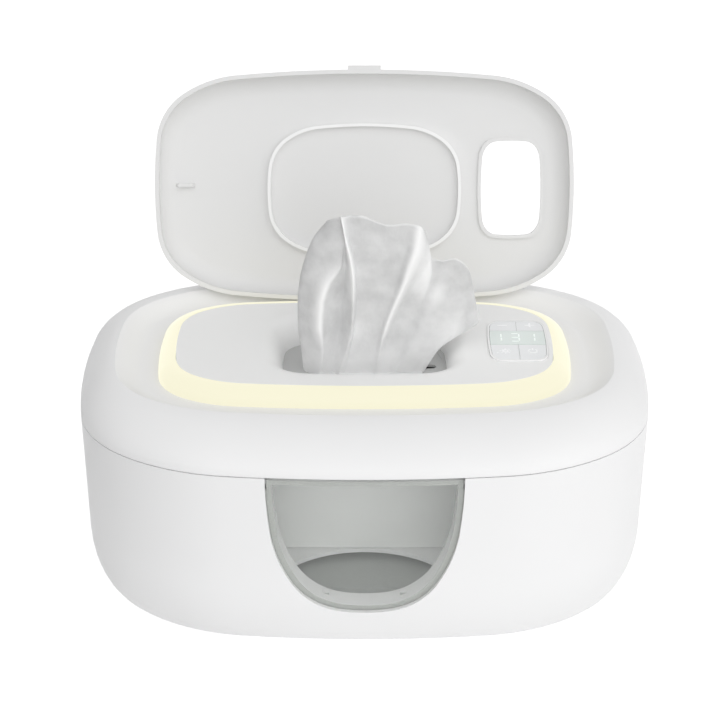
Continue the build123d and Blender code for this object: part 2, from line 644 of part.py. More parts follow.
def wipe_tray():
    room = tank_profile(TANK_WALL + TRAY_GAP, TRAY_HEIGHT, TRAY_TOP)[0]
    tray = oval_block(2 * room[0], 2 * room[1], BODY_POWER, TRAY_HEIGHT, TRAY_TOP)
    tray -= post(TRAY_NOTCH_RADIUS, TRAY_HEIGHT - 1, TRAY_TOP + 1, 0, TRAY_NOTCH_Y)
    for column in range(TRAY_SLOT_COLUMNS):
        x = (column - (TRAY_SLOT_COLUMNS - 1) / 2) * TRAY_SLOT_PITCH
        for y in TRAY_SLOT_ROWS:
            slot = block(TRAY_SLOT_WIDTH, TRAY_SLOT_LENGTH, TRAY_HEIGHT - 1, TRAY_TOP + 1, x, y)
            tray -= slot
    for x, y in tray_legs():
        tray += post(TRAY_LEG_RADIUS, TANK_FLOOR_TOP, TRAY_HEIGHT + 0.5, x, y)
    return tray


def moisture_pad():
    pad = oval_block(TANK_WIDTH - 2 * PAD_ROOM, TANK_DEPTH - 2 * PAD_ROOM, BODY_POWER,
                     TANK_FLOOR_TOP, TANK_FLOOR_TOP + PAD_THICKNESS)
    for x, y in tray_legs():
        pad -= post(TRAY_LEG_RADIUS + 1, TANK_FLOOR_TOP - 1, TANK_FLOOR_TOP + PAD_THICKNESS + 1, x, y)
    return pad


def wipe_stack():
    low = TRAY_TOP + FIT_GAP
    pack = block(PACK_WIDTH, PACK_BACK - PACK_FRONT, low, low + PACK_HEIGHT,
                 0, (PACK_FRONT + PACK_BACK) / 2)
    return fillet(pack.edges().filter_by(Axis.Z), PACK_ROUND)


def heater_plate():
    return block(HEATER_WIDTH, HEATER_DEPTH, TANK_FLOOR_HEIGHT - HEATER_PLATE_THICKNESS,
                 TANK_FLOOR_HEIGHT)


def film_height():
    return TANK_FLOOR_HEIGHT - HEATER_PLATE_THICKNESS - HEATER_FILM_THICKNESS


def heater_film():
    return block(HEATER_WIDTH - 2 * HEATER_FILM_INSET, HEATER_DEPTH - 2 * HEATER_FILM_INSET,
                 film_height(), film_height() + HEATER_FILM_THICKNESS)


def sensors():
    """Each sensor as (x, radius, length)."""
    return [(FUSE_X, FUSE_RADIUS, FUSE_LENGTH), (THERMISTOR_X, THERMISTOR_RADIUS, THERMISTOR_LENGTH)]


def insulation_pad():
    low = film_height() - INSULATION_THICKNESS
    pad = block(HEATER_WIDTH - 2 * INSULATION_INSET, HEATER_DEPTH - 2 * INSULATION_INSET,
                low, film_height())
    for x, radius, length in sensors():
        pad -= block(length + 2 * SENSOR_POCKET_GAP, 2 * (radius + SENSOR_POCKET_GAP),
                     film_height() - 2 * radius - SENSOR_POCKET_GAP, film_height() + 1, x)
    return pad


def sensor(x, radius, length):
    return rod(radius, length, x, 0, film_height() - radius)


def board_posts():
    return [(BOARD_X + side * BOARD_POST_X, BOARD_Y + step)
            for step in (-BOARD_POST_AHEAD, BOARD_POST_BEHIND) for side in (-1, 1)]


def main_board():
    low = BASE_TOP + BOARD_STANDOFF
    board = block(BOARD_WIDTH, BOARD_DEPTH, low, BOARD_TOP, BOARD_X, BOARD_Y)
    for x, y in board_posts():
        board -= post(BOARD_SCREW_RADIUS + 0.2, low - 1, BOARD_TOP + 1, x, y)
    return board


def board_components():
    x, y = BOARD_X, BOARD_Y
    pieces = [post(4.0, BOARD_TOP, BOARD_TOP + 9.0, x + 14, y + 5),
              post(3.2, BOARD_TOP, BOARD_TOP + 7.5, x + 14, y - 7),
              block(9.0, 9.0, BOARD_TOP, BOARD_TOP + 4.5, x + 1, y + 2),
              block(7.5, 6.0, BOARD_TOP, BOARD_TOP + 2.0, x - 2, y - 9),
              block(12.0, 6.5, BOARD_TOP, BOARD_TOP + 6.0, x + 27, y - 4),
              block(9.0, 6.0, BOARD_TOP, BOARD_TOP + 6.0, x - 24, y - 9)]
    return pieces


def board_screws():
    screws = []
    for x, y in board_posts():
        body = post(BOARD_SCREW_HEAD, BOARD_TOP, BOARD_TOP + 1.3, x, y)
        body += post(BOARD_SCREW_RADIUS, BASE_TOP + 0.5, BOARD_TOP + 0.1, x, y)
        screws.append(body)
    return screws


def socket_height():
    return BOARD_TOP + SOCKET_HEIGHT / 2


def dc_socket():
    z = socket_height()
    socket = block(SOCKET_WIDTH, SOCKET_BACK - SOCKET_FRONT, BOARD_TOP, BOARD_TOP + SOCKET_HEIGHT,
                   SOCKET_X, (SOCKET_FRONT + SOCKET_BACK) / 2)
    length = SOCKET_COLLAR_END - SOCKET_BACK
    middle = (SOCKET_COLLAR_END + SOCKET_BACK) / 2
    socket += Pos(SOCKET_X, middle - 0.5, z) * Rot(90, 0, 0) * \
        Cylinder(SOCKET_COLLAR_RADIUS, length + 1)
    bore_middle = SOCKET_COLLAR_END - SOCKET_BORE_DEPTH / 2
    socket -= Pos(SOCKET_X, bore_middle, z) * Rot(90, 0, 0) * \
        Cylinder(SOCKET_BORE_RADIUS, SOCKET_BORE_DEPTH)
    socket += Pos(SOCKET_X, bore_middle - 0.8, z) * Rot(90, 0, 0) * \
        Cylinder(SOCKET_PIN_RADIUS, SOCKET_BORE_DEPTH - 1)
    return socket


# ---- cover ----

def cover_towers():
    """Middle of each tower under the recess floor that takes a liner screw."""
    end_x = RING_WIDTH / 2 + COVER_TOWER_SIDE_OUT
    corner_x = RING_WIDTH / 2 - COVER_TOWER_CORNER_IN
    return [(-end_x, 0), (end_x, 0)] + mirrored_pairs(
        corner_x, RING_DEPTH / 2 + COVER_TOWER_END_OUT)


def ring_profile():
    sections = []
    for k in range(ROUND_STEPS + 1):
        turn = pi / 2 * k / ROUND_STEPS
        inset = RING_ROUND * (1 - cos(turn))
        sections.append((RING_WIDTH / 2 - inset, RING_DEPTH / 2 - inset, RING_POWER,
                         RECESS_HEIGHT + (DECK_HEIGHT - RECESS_HEIGHT) * sin(turn)))
    return sections


def upper_shell():
    outer = crown_profile()
    inner = offset_profile(outer, SHELL_WALL)
    first = inner[0]
    inner = [(first[0], first[1], first[2], UPPER_BOTTOM - 1)] + inner
    shell = stack(outer) - stack(inner)
    shell -= oval_block(RING_WIDTH - 2 * RING_SEAT, RING_DEPTH - 2 * RING_SEAT, RING_POWER,
                        LINER_TOP, RECESS_HEIGHT + 1)
    floor_underside = RECESS_HEIGHT - SHELL_WALL
    for x, y in cover_towers():
        shell += post(COVER_TOWER_RADIUS, LINER_TOP, floor_underside + 0.5, x, y)
        shell -= post(SCREW_RADIUS, LINER_TOP - 1, floor_underside - 0.5, x, y)
    for x in lid_ear_places():
        shell += rod(LID_KNUCKLE_RADIUS, LID_EAR_WIDTH, x, LID_HINGE_Y, LID_HINGE_Z)
        shell += block(LID_EAR_WIDTH, 2 * LID_KNUCKLE_RADIUS, floor_underside + 0.5,
                       LID_HINGE_Z, x, LID_HINGE_Y)
        shell -= rod(LID_PIN_RADIUS, LID_EAR_WIDTH + 1, x, LID_HINGE_Y, LID_HINGE_Z)
    for x in cover_ear_places():
        shell -= cover_hinge_cylinder(COVER_KNUCKLE_RADIUS + KNUCKLE_NOTCH_GAP,
                                      COVER_EAR_WIDTH + 2 * HINGE_SIDE_GAP, x)
    for side in (-1, 1):
        x = side * COVER_HINGE_X
        shell += cover_knuckle(COVER_KNUCKLE_LENGTH, x, UPPER_BOTTOM,
                               SEAM_HEIGHT + COVER_KNUCKLE_RADIUS)
        shell -= cover_hinge_cylinder(COVER_PIN_RADIUS + PIN_FIT, COVER_KNUCKLE_LENGTH + 1, x)
    return shell


def light_ring():
    outer = ring_profile()
    inner = offset_profile(outer, RING_WALL)
    first = inner[0]
    inner = [(first[0], first[1], first[2], RECESS_HEIGHT - 1)] + inner[1:]
    ring = stack(outer) - stack(inner)
    inside = 2 * RING_ROUND
    return ring - oval_block(RING_WIDTH - inside, RING_DEPTH - inside, RING_POWER,
                             RECESS_HEIGHT - 1, DECK_HEIGHT + 1)


def deck_outline():
    """Width and depth of the deck inside the ring."""
    reach = 2 * (RING_ROUND + SLIDE_FIT)
    return RING_WIDTH - reach, RING_DEPTH - reach


def mouth_profile():
    sections = []
    for k in range(ROUND_STEPS + 1):
        turn = pi / 2 * k / ROUND_STEPS
        inset = MOUTH_ROLL_IN * sin(turn)
        sections.append((MOUTH_WIDTH / 2 - inset, MOUTH_DEPTH / 2 - inset, MOUTH_POWER,
                         DECK_HEIGHT - MOUTH_ROLL_DOWN * (1 - cos(turn))))
    return sections


def mouth_walls():
    """Funnel solid and the hollow inside it."""
    hollow = mouth_profile()
    around = offset_profile(hollow, MOUTH_WALL)
    outside = []
    for near, far in zip(hollow, around):
        outside.append((near[0] + abs(far[0] - near[0]), near[1] + abs(far[1] - near[1]),
                        near[2], near[3] - abs(far[3] - near[3])))
    low = hollow[-1]
    outside[-1] = (low[0] + MOUTH_WALL, low[1] + MOUTH_WALL, low[2], low[3])
    hollow.append((low[0], low[1], low[2], low[3] - 2))
    return stack(outside), stack(hollow)


def deck_panel():
    width, depth = deck_outline()
    skirt = 2 * DECK_SKIRT_WALL
    deck = oval_block(width, depth, RING_POWER, LINER_TOP, DECK_HEIGHT)
    deck -= oval_block(width - skirt, depth - skirt, RING_POWER, LINER_TOP - 1,
                       DECK_HEIGHT - DECK_WALL)
    seat = 2 * (RING_SEAT + FIT_GAP)
    shelf = oval_block(RING_WIDTH - seat, RING_DEPTH - seat, RING_POWER,
                       LED_SHELF_HEIGHT - LED_SHELF_THICKNESS, LED_SHELF_HEIGHT)
    shelf -= oval_block(width - skirt, depth - skirt, RING_POWER, LINER_TOP, DECK_HEIGHT)
    outside, hollow = mouth_walls()
    deck = deck + shelf + outside
    deck -= hollow
    rebate = 2 * (BEZEL_WIDTH + SLIDE_FIT)
    deck -= oval_block(PANEL_WIDTH + rebate, PANEL_DEPTH + rebate, PANEL_POWER,
                       PANEL_HEIGHT - BEZEL_THICKNESS, PANEL_HEIGHT + 1, PANEL_X, PANEL_Y)
    deck -= oval_block(PANEL_WIDTH, PANEL_DEPTH, PANEL_POWER,
                       DECK_HEIGHT - DECK_WALL - 1, PANEL_HEIGHT + 1, PANEL_X, PANEL_Y)
    for x, y in mirrored_pairs(PANEL_POST_X, PANEL_POST_Y):
        deck += post(PANEL_POST_RADIUS, PANEL_BOARD_TOP, DECK_HEIGHT - DECK_WALL + 0.5,
                     PANEL_X + x, PANEL_Y + y)
    return deck


def led_board():
    width, depth = deck_outline()
    low = LED_SHELF_HEIGHT
    outer = 2 * (RING_SEAT + FIT_GAP)
    board = oval_block(RING_WIDTH - outer, RING_DEPTH - outer, RING_POWER, low,
                       low + LED_BOARD_THICKNESS)
    inner = 2 * FIT_GAP
    return board - oval_block(width + inner, depth + inner, RING_POWER, low - 1,
                              low + LED_BOARD_THICKNESS + 1)


def led_chips():
    width, depth = deck_outline()
    half_x = (width / 2 + FIT_GAP + RING_WIDTH / 2 - RING_SEAT - FIT_GAP) / 2
    half_y = (depth / 2 + FIT_GAP + RING_DEPTH / 2 - RING_SEAT - FIT_GAP) / 2
    path = oval(half_x, half_y, RING_POWER, 0)
    low = LED_SHELF_HEIGHT + LED_BOARD_THICKNESS
    chips = []
    for k in range(LED_COUNT):
        place = path.position_at(k / LED_COUNT)
        along = path.tangent_at(k / LED_COUNT)
        turn = degrees(atan2(along.Y, along.X))
        chips.append(Pos(place.X, place.Y, low + LED_THICKNESS / 2) * Rot(0, 0, turn) *
                     Box(LED_SIZE, LED_SIZE, LED_THICKNESS))
    return chips


def throat():
    """Width and depth of the mouth at its narrow end."""
    return MOUTH_WIDTH - 2 * MOUTH_ROLL_IN, MOUTH_DEPTH - 2 * MOUTH_ROLL_IN


def cover_liner():
    reach = 2 * (SHELL_WALL + FIT_GAP)
    liner = oval_block(BODY_WIDTH - reach, BODY_DEPTH - reach, BODY_POWER, LINER_HEIGHT, LINER_TOP)
    width, depth = throat()
    collar_top = THROAT_HEIGHT - MEMBRANE_THICKNESS - 0.1
    liner += oval_block(width + 2 * MOUTH_WALL, depth + 2 * MOUTH_WALL, MOUTH_POWER,
                        LINER_TOP - 0.5, collar_top)
    liner -= oval_block(width, depth, MOUTH_POWER, LINER_HEIGHT - 1, collar_top + 1)
    for x, y in cover_towers():
        liner -= post(SCREW_RADIUS + 0.2, LINER_HEIGHT - 1, LINER_TOP + 1, x, y)
    return liner


def cover_screws():
    return [screw(x, y, LINER_HEIGHT - SCREW_HEAD_THICKNESS) for x, y in cover_towers()]


def rim_seal():
    """Soft ring under the cover liner that meets the tank's flange."""
    low = TANK_FLANGE_HEIGHT + TANK_FLANGE_THICKNESS + FIT_GAP
    seal = oval_block(TANK_WIDTH + 2 * RIM_SEAL_WIDTH, TANK_DEPTH + 2 * RIM_SEAL_WIDTH, BODY_POWER,
                      low, LINER_HEIGHT)
    return seal - oval_block(TANK_WIDTH, TANK_DEPTH, BODY_POWER, low - 1, LINER_HEIGHT + 1)


def dispensing_membrane():
    width, depth = throat()
    high = THROAT_HEIGHT - 0.05
    sheet = oval_block(width + 2 * MOUTH_WALL, depth + 2 * MOUTH_WALL, MOUTH_POWER,
                       high - MEMBRANE_THICKNESS, high)
    return sheet - oval_block(SLIT_LENGTH, SLIT_WIDTH, WIPE_POWER, high - MEMBRANE_THICKNESS - 1,
                              high + 1, WIPE_X)


# ---- control panel ----

def control_bezel():
    low = PANEL_HEIGHT - BEZEL_THICKNESS
    bezel = oval_block(PANEL_WIDTH + 2 * BEZEL_WIDTH, PANEL_DEPTH + 2 * BEZEL_WIDTH, PANEL_POWER,
                       low, PANEL_HEIGHT, PANEL_X, PANEL_Y)
    return bezel - oval_block(PANEL_WIDTH, PANEL_DEPTH, PANEL_POWER, low - 1, PANEL_HEIGHT + 1,
                              PANEL_X, PANEL_Y)


def panel_field(thickness):
    """Slab that fills the panel's opening, less its fit."""
    return oval_block(PANEL_WIDTH - 2 * SLIDE_FIT, PANEL_DEPTH - 2 * SLIDE_FIT, PANEL_POWER,
                      PANEL_HEIGHT - thickness, PANEL_HEIGHT - FACE_DROP, PANEL_X, PANEL_Y)


def display_lens():
    band = block(PANEL_WIDTH, DISPLAY_BACK - DISPLAY_FRONT, 0, PANEL_HEIGHT + 1,
                 PANEL_X, (DISPLAY_BACK + DISPLAY_FRONT) / 2)
    return panel_field(DISPLAY_LENS_THICKNESS) & band


def display_module():
    high = PANEL_HEIGHT - DISPLAY_LENS_THICKNESS
    return block(PANEL_WIDTH - 2 * DISPLAY_MODULE_IN,
                 DISPLAY_BACK - DISPLAY_FRONT - DISPLAY_MODULE_SHORT,
                 PANEL_BOARD_TOP, high, PANEL_X, (DISPLAY_BACK + DISPLAY_FRONT) / 2)


def key_region(side, row):
    """Limits of one key: side -1 left or 1 right, row 1 behind or -1 before the display."""
    half = PANEL_WIDTH / 2
    inner, outer = side * KEY_SPLIT / 2, side * (half + 1)
    x_low, x_high = sorted((PANEL_X + inner, PANEL_X + outer))
    if row > 0:
        return x_low, x_high, DISPLAY_BACK + KEY_SPLIT, PANEL_Y + PANEL_DEPTH / 2 + 1
    return x_low, x_high, PANEL_Y - PANEL_DEPTH / 2 - 1, DISPLAY_FRONT - KEY_SPLIT


def key_centre(side, row):
    edge = DISPLAY_BACK + KEY_SPLIT if row > 0 else DISPLAY_FRONT - KEY_SPLIT
    return PANEL_X + side * PANEL_WIDTH / 4, (edge + PANEL_Y + row * PANEL_DEPTH / 2) / 2


def key(side, row):
    x_low, x_high, y_low, y_high = key_region(side, row)
    cutter = block(x_high - x_low, y_high - y_low, 0, PANEL_HEIGHT + 1,
                   (x_low + x_high) / 2, (y_low + y_high) / 2)
    cap = panel_field(KEY_THICKNESS) & cutter
    x, y = key_centre(side, row)
    bottom = PANEL_HEIGHT - KEY_THICKNESS
    return cap + post(KEY_STEM_RADIUS, bottom - stem_length(), bottom + 0.5, x, y)


def stem_length():
    """The stem ends just above its switch, by the key's travel and a hair."""
    switch_top = PANEL_BOARD_TOP + SWITCH_HEIGHT
    return PANEL_HEIGHT - KEY_THICKNESS - switch_top - KEY_TRAVEL - 0.05


def key_switches():
    switches = []
    for side in (-1, 1):
        for row in (-1, 1):
            x, y = key_centre(side, row)
            body = block(SWITCH_SIZE, SWITCH_SIZE, PANEL_BOARD_TOP,
                         PANEL_BOARD_TOP + SWITCH_HEIGHT - 0.6, x, y)
            switches.append(body + post(SWITCH_CAP_RADIUS, PANEL_BOARD_TOP + SWITCH_HEIGHT - 1,
                                        PANEL_BOARD_TOP + SWITCH_HEIGHT, x, y))
    return switches


def control_board():
    return block(PANEL_BOARD_WIDTH, PANEL_BOARD_DEPTH, PANEL_BOARD_TOP - BOARD_THICKNESS,
                 PANEL_BOARD_TOP, PANEL_X, PANEL_Y)


# ---- lid ----

def open_lid(shape):
    """Turn a piece drawn with the lid closed to where it stands open."""
    return shape.rotate(Axis((0, LID_HINGE_Y, LID_HINGE_Z), (1, 0, 0)), -LID_OPEN_ANGLE)


def lid_ear_places():
    out = LID_KNUCKLE_LENGTH / 2 + HINGE_SIDE_GAP + LID_EAR_WIDTH / 2
    return [side * LID_HINGE_X + step for side in (-1, 1) for step in (-out, out)]


def lid_profile():
    start = LID_TOP_HEIGHT - LID_ROUND
    sections = [(LID_WIDTH / 2, LID_DEPTH / 2, LID_POWER, LID_RIM_HEIGHT)]
    for k in range(1, ROUND_STEPS + 1):
        turn = pi / 2 * k / ROUND_STEPS
        inset = LID_ROUND * (1 - cos(turn))
        sections.append((LID_WIDTH / 2 - inset, LID_DEPTH / 2 - inset, LID_POWER,
                         start + LID_ROUND * sin(turn)))
    return sections


def lid_hole(extra, low, high):
    return oval_block(PANEL_WIDTH + 2 * (BEZEL_WIDTH + LID_HOLE_GAP + extra),
                      PANEL_DEPTH + 2 * (BEZEL_WIDTH + LID_HOLE_END_GAP + extra),
                      PANEL_POWER - 1, low, high, PANEL_X, PANEL_Y)


def lid_shell():
    outer = lid_profile()
    inner = offset_profile(outer, LID_WALL)
    first = inner[0]
    inner = [(first[0], first[1], first[2], LID_RIM_HEIGHT - 1)] + inner[1:]
    lid = stack(outer) - stack(inner)
    underside = LID_TOP_HEIGHT - LID_WALL
    lid += lid_hole(LID_HOLE_LIP, underside - LID_HOLE_LIP_DEPTH, underside + 0.5)
    lid -= lid_hole(0, LID_RIM_HEIGHT, LID_TOP_HEIGHT + 1)
    lid += block(LID_TAB_WIDTH, LID_TAB_PROUD + LID_WALL / 2, LID_RIM_HEIGHT,
                 LID_RIM_HEIGHT + LID_TAB_HEIGHT, 0,
                 -LID_DEPTH / 2 - LID_TAB_PROUD / 2 + LID_WALL / 4)
    striker = Pos(STRIKER_X, 0, underside) * Rot(90, 0, 0) * \
        Cylinder(STRIKER_RADIUS, STRIKER_THICKNESS)
    lid += striker & block(4 * STRIKER_RADIUS, 4, underside - STRIKER_DROP, underside + 0.5,
                           STRIKER_X)
    for x in lid_ear_places():
        lid -= block(LID_EAR_WIDTH + 2 * HINGE_SIDE_GAP, 8.0, LID_RIM_HEIGHT - 2,
                     LID_HINGE_Z + LID_KNUCKLE_RADIUS + 0.6, x, LID_HINGE_Y)
    for side in (-1, 1):
        x = side * LID_HINGE_X
        lid += rod(LID_KNUCKLE_RADIUS, LID_KNUCKLE_LENGTH, x, LID_HINGE_Y, LID_HINGE_Z)
        lid -= rod(LID_PIN_RADIUS + PIN_FIT, LID_KNUCKLE_LENGTH + 1, x, LID_HINGE_Y, LID_HINGE_Z)
    return open_lid(lid)


def lid_seal():
    low = DECK_HEIGHT + SEAL_DECK_GAP
    high = LID_TOP_HEIGHT - LID_WALL
    ring = oval_block(SEAL_WIDTH, SEAL_DEPTH, SEAL_POWER, low, high, 0, SEAL_Y)
    ring -= oval_block(SEAL_WIDTH - 2 * SEAL_THICKNESS, SEAL_DEPTH - 2 * SEAL_THICKNESS,
                       SEAL_POWER, low - 1, high + 1, 0, SEAL_Y)
    return open_lid(ring)


def lid_hinge_pins():
    length = LID_KNUCKLE_LENGTH + 2 * (HINGE_SIDE_GAP + LID_EAR_WIDTH)
    return [rod(LID_PIN_RADIUS, length, side * LID_HINGE_X, LID_HINGE_Y, LID_HINGE_Z)
            for side in (-1, 1)]


def top_wipe():
    """Plain stand-in for the tuft of cloth: a narrow neck that opens into a fan."""
    levels = [(WIPE_NECK_LENGTH, WIPE_NECK_WIDTH, THROAT_HEIGHT - WIPE_BOTTOM_DROP),
              (WIPE_NECK_LENGTH, WIPE_NECK_WIDTH, THROAT_HEIGHT + WIPE_NECK_RISE),
              (WIPE_MID_LENGTH, WIPE_MID_WIDTH, DECK_HEIGHT + WIPE_MID_RISE),
              (WIPE_TOP_LENGTH, WIPE_TOP_WIDTH, DECK_HEIGHT + WIPE_TOP_RISE)]
    return Solid.make_loft([oval(length / 2, width / 2, WIPE_POWER, z, WIPE_X)
                            for length, width, z in levels], ruled=True)


NODES = {
    "lower_shell": lower_shell,
    "base_plate": base_plate,
    "rubber_feet": rubber_feet,
    "base_screws": base_screws,
    "inner_tank": inner_tank,
    "window_pane": window_pane,
    "window_frame": window_frame,
    "wipe_tray": wipe_tray,
    "moisture_pad": moisture_pad,
    "wipe_stack": wipe_stack,
    "heater_plate": heater_plate,
    "heater_film": heater_film,
    "insulation_pad": insulation_pad,
    "thermal_fuse": lambda: sensor(*sensors()[0]),
    "thermistor": lambda: sensor(*sensors()[1]),
    "main_board": main_board,
    "board_components": board_components,
    "board_screws": board_screws,
    "dc_socket": dc_socket,
    "cover_hinge_pins": cover_hinge_pins,
    "upper_shell": upper_shell,
    "deck_panel": deck_panel,
    "light_ring": light_ring,
    "led_board": led_board,
    "led_chips": led_chips,
    "cover_liner": cover_liner,
    "cover_screws": cover_screws,
    "rim_seal": rim_seal,
    "dispensing_membrane": dispensing_membrane,
    "control_bezel": control_bezel,
    "display_lens": display_lens,
    "display_module": display_module,
    "control_board": control_board,
    "key_switches": key_switches,
    "key_minus": lambda: key(-1, 1),
    "key_plus": lambda: key(1, 1),
    "key_light": lambda: key(-1, -1),
    "key_power": lambda: key(1, -1),
    "lid_hinge_pins": lid_hinge_pins,
    "lid_shell": lid_shell,
    "lid_seal": lid_seal,
    "top_wipe": top_wipe,
}


def main():
    os.makedirs("parts", exist_ok=True)
    for name, make in NODES.items():
        shape = make()
        if isinstance(shape, list):
            shape = Compound(children=[Compound(piece.solids()) if len(piece.solids()) > 1
                                       else piece.solid() for piece in shape])
        export_step(shape, "parts/" + name + ".step")


main()
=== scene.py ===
from math import atan2, cos, exp, pi, radians, sin

import bpy
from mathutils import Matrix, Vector


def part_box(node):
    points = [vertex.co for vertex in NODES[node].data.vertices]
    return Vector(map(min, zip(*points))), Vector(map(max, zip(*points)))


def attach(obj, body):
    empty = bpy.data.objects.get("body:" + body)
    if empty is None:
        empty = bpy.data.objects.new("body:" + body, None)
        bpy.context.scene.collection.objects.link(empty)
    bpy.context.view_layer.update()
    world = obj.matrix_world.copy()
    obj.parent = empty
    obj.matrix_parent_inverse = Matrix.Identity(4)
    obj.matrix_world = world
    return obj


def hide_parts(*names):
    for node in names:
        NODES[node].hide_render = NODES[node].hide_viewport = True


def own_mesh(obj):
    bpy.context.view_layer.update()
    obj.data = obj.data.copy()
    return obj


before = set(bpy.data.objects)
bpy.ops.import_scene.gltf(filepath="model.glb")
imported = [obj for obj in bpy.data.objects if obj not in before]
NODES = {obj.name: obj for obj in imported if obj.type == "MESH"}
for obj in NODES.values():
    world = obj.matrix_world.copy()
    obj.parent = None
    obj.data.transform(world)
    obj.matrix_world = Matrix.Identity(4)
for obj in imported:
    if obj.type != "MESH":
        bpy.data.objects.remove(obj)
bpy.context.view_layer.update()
MM = 0.001
X, Y, Z = range(3)


# ---------------------------------------------------------------- places from the CAD
def reach(node, axis):
    """Lowest and highest place of a CAD node along an axis, in millimetres."""
    low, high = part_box(node)
    return low[axis] / MM, high[axis] / MM


def middle(node, axis):
    return sum(reach(node, axis)) / 2


PANEL_MIDDLE = middle("control_bezel", X), middle("control_bezel", Y)
PANEL_TOP = reach("control_bezel", Z)[1]
MEMBRANE_TOP = reach("dispensing_membrane", Z)[1]


# ---------------------------------------------------------------- shader nodes
WHITE = (1.0, 1.0, 1.0, 1.0)
# The range that most of a noise texture's values fall in.
NOISE_LOW, NOISE_HIGH = 0.3, 0.7
UNSTRETCHED = (1.0, 1.0, 1.0)


def opaque(colour):
    return (*colour, 1.0)


def shaded(colour, share):
    return tuple(c * share for c in colour)


class ShaderTree:
    """The shader nodes of a material or of the world."""

    def __init__(self, tree):
        self.tree = tree

    def node(self, kind, **settings):
        made = self.tree.nodes.new(kind)
        for name, value in settings.items():
            setattr(made, name, value)
        return made

    def feed(self, target, value):
        """An input takes the output of another node, or else a fixed value."""
        if isinstance(value, bpy.types.NodeSocket):
            self.tree.links.new(value, target)
        else:
            target.default_value = value

    def feed_all(self, made, **values):
        """Feeds inputs by name; From_Min stands for the input From Min."""
        for name, value in values.items():
            self.feed(made.inputs[name.replace("_", " ")], value)

    def span(self, value, start, end, low=0.0, high=1.0, easing="LINEAR"):
        """A value from start to end becomes low to high, and stays there past either end."""
        made = self.node("ShaderNodeMapRange", interpolation_type=easing)
        self.feed_all(made, Value=value, From_Min=start, From_Max=end, To_Min=low, To_Max=high)
        return made.outputs["Result"]

    def mix(self, factor, under, over, blend="MIX"):
        """Colour over laid on colour under by a factor."""
        made = self.node("ShaderNodeMix", data_type="RGBA", blend_type=blend)
        self.feed_all(made, Factor=factor, A=under, B=over)
        return made.outputs["Result"]

    def axis(self, vector, name):
        """The X, Y or Z of a vector."""
        made = self.node("ShaderNodeSeparateXYZ")
        self.feed(made.inputs[0], vector)
        return made.outputs[name]

    def grey_ramp(self, value, stops):
        """Colour ramp of (place, grey) over a value from -1 to 1."""
        made = self.node("ShaderNodeValToRGB")
        elements = made.color_ramp.elements
        while len(elements) < len(stops):
            elements.new(0.5)
        for element, (place, grey) in zip(elements, stops):
            element.position = (place + 1) / 2
            element.color = (grey, grey, grey, 1.0)
        self.feed(made.inputs["Fac"], self.span(value, -1.0, 1.0))
        return made.outputs["Color"]

    def background_rays(self):
        """1 for rays that show the background: straight, mirrored or through clear pieces."""
        path = self.node("ShaderNodeLightPath")
        value = path.outputs["Is Camera Ray"]
        for name in ("Is Glossy Ray", "Is Transmission Ray"):
            either = self.node("ShaderNodeMath", operation="MAXIMUM")
            self.feed(either.inputs[0], value)
            self.feed(either.inputs[1], path.outputs[name])
            value = either.outputs[0]
        return value


class Material(ShaderTree):
    """A principled material with procedural colour, roughness and bump."""

    def __init__(self, name, colour, roughness, specular=0.5):
        self.material = bpy.data.materials.new(name)
        self.material.use_nodes = True
        super().__init__(self.material.node_tree)
        self.shader = self.tree.nodes["Principled BSDF"]
        self.coordinates = self.node("ShaderNodeTexCoord").outputs["Object"]
        self.base = opaque(colour)
        self.normal = None
        self.give("Base Color", self.base)
        self.give("Roughness", roughness)
        self.give("Specular IOR Level", specular)

    def give(self, name, value):
        self.feed(self.shader.inputs[name], value)

    def noise(self, scale, detail=3.0, stretch=UNSTRETCHED):
        """A noise with scale waves to the metre, closer together where stretch is above 1."""
        mapping = self.node("ShaderNodeMapping")
        self.feed_all(mapping, Vector=self.coordinates, Scale=stretch)
        made = self.node("ShaderNodeTexNoise")
        self.feed_all(made, Vector=mapping.outputs["Vector"], Scale=scale, Detail=detail)
        return made.outputs["Fac"]

    def tint(self, factor, other):
        """The base colour goes over to another one by a factor."""
        self.base = self.mix(factor, self.base, opaque(other))
        self.give("Base Color", self.base)

    def vary_colour(self, scale, other):
        self.tint(self.span(self.noise(scale), NOISE_LOW, NOISE_HIGH), other)

    def vary_roughness(self, scale, low, high):
        self.give("Roughness", self.span(self.noise(scale), NOISE_LOW, NOISE_HIGH, low, high))

    def bump_noise(self, scale, strength, distance, detail=3.0, stretch=UNSTRETCHED):
        """Another layer of bumps, on top of those given before."""
        bump = self.node("ShaderNodeBump")
        self.feed_all(bump, Height=self.noise(scale, detail, stretch), Strength=strength,
                      Distance=distance)
        if self.normal is not None:
            self.feed(bump.inputs["Normal"], self.normal)
        self.normal = bump.outputs["Normal"]
        self.give("Normal", self.normal)


# ---------------------------------------------------------------- looks
# Scales are in waves to the metre and heights in metres. A layer of bumps is its scale, its
# strength and its height.
PLASTIC_PATCHES, PLASTIC_SHADE = 14.0, 0.985
PLASTIC_SMEARS, PLASTIC_SMOOTHER, PLASTIC_ROUGHER = 60.0, 0.05, 0.06
PLASTIC_GRAIN, PLASTIC_GRAIN_HEIGHT = 2600.0, 0.00004


def plastic(name, colour, roughness, grain=0.05, specular=0.5):
    made = Material(name, colour, roughness, specular)
    made.vary_colour(PLASTIC_PATCHES, shaded(colour, PLASTIC_SHADE))
    made.vary_roughness(PLASTIC_SMEARS, roughness - PLASTIC_SMOOTHER, roughness + PLASTIC_ROUGHER)
    made.bump_noise(PLASTIC_GRAIN, grain, PLASTIC_GRAIN_HEIGHT)
    return made


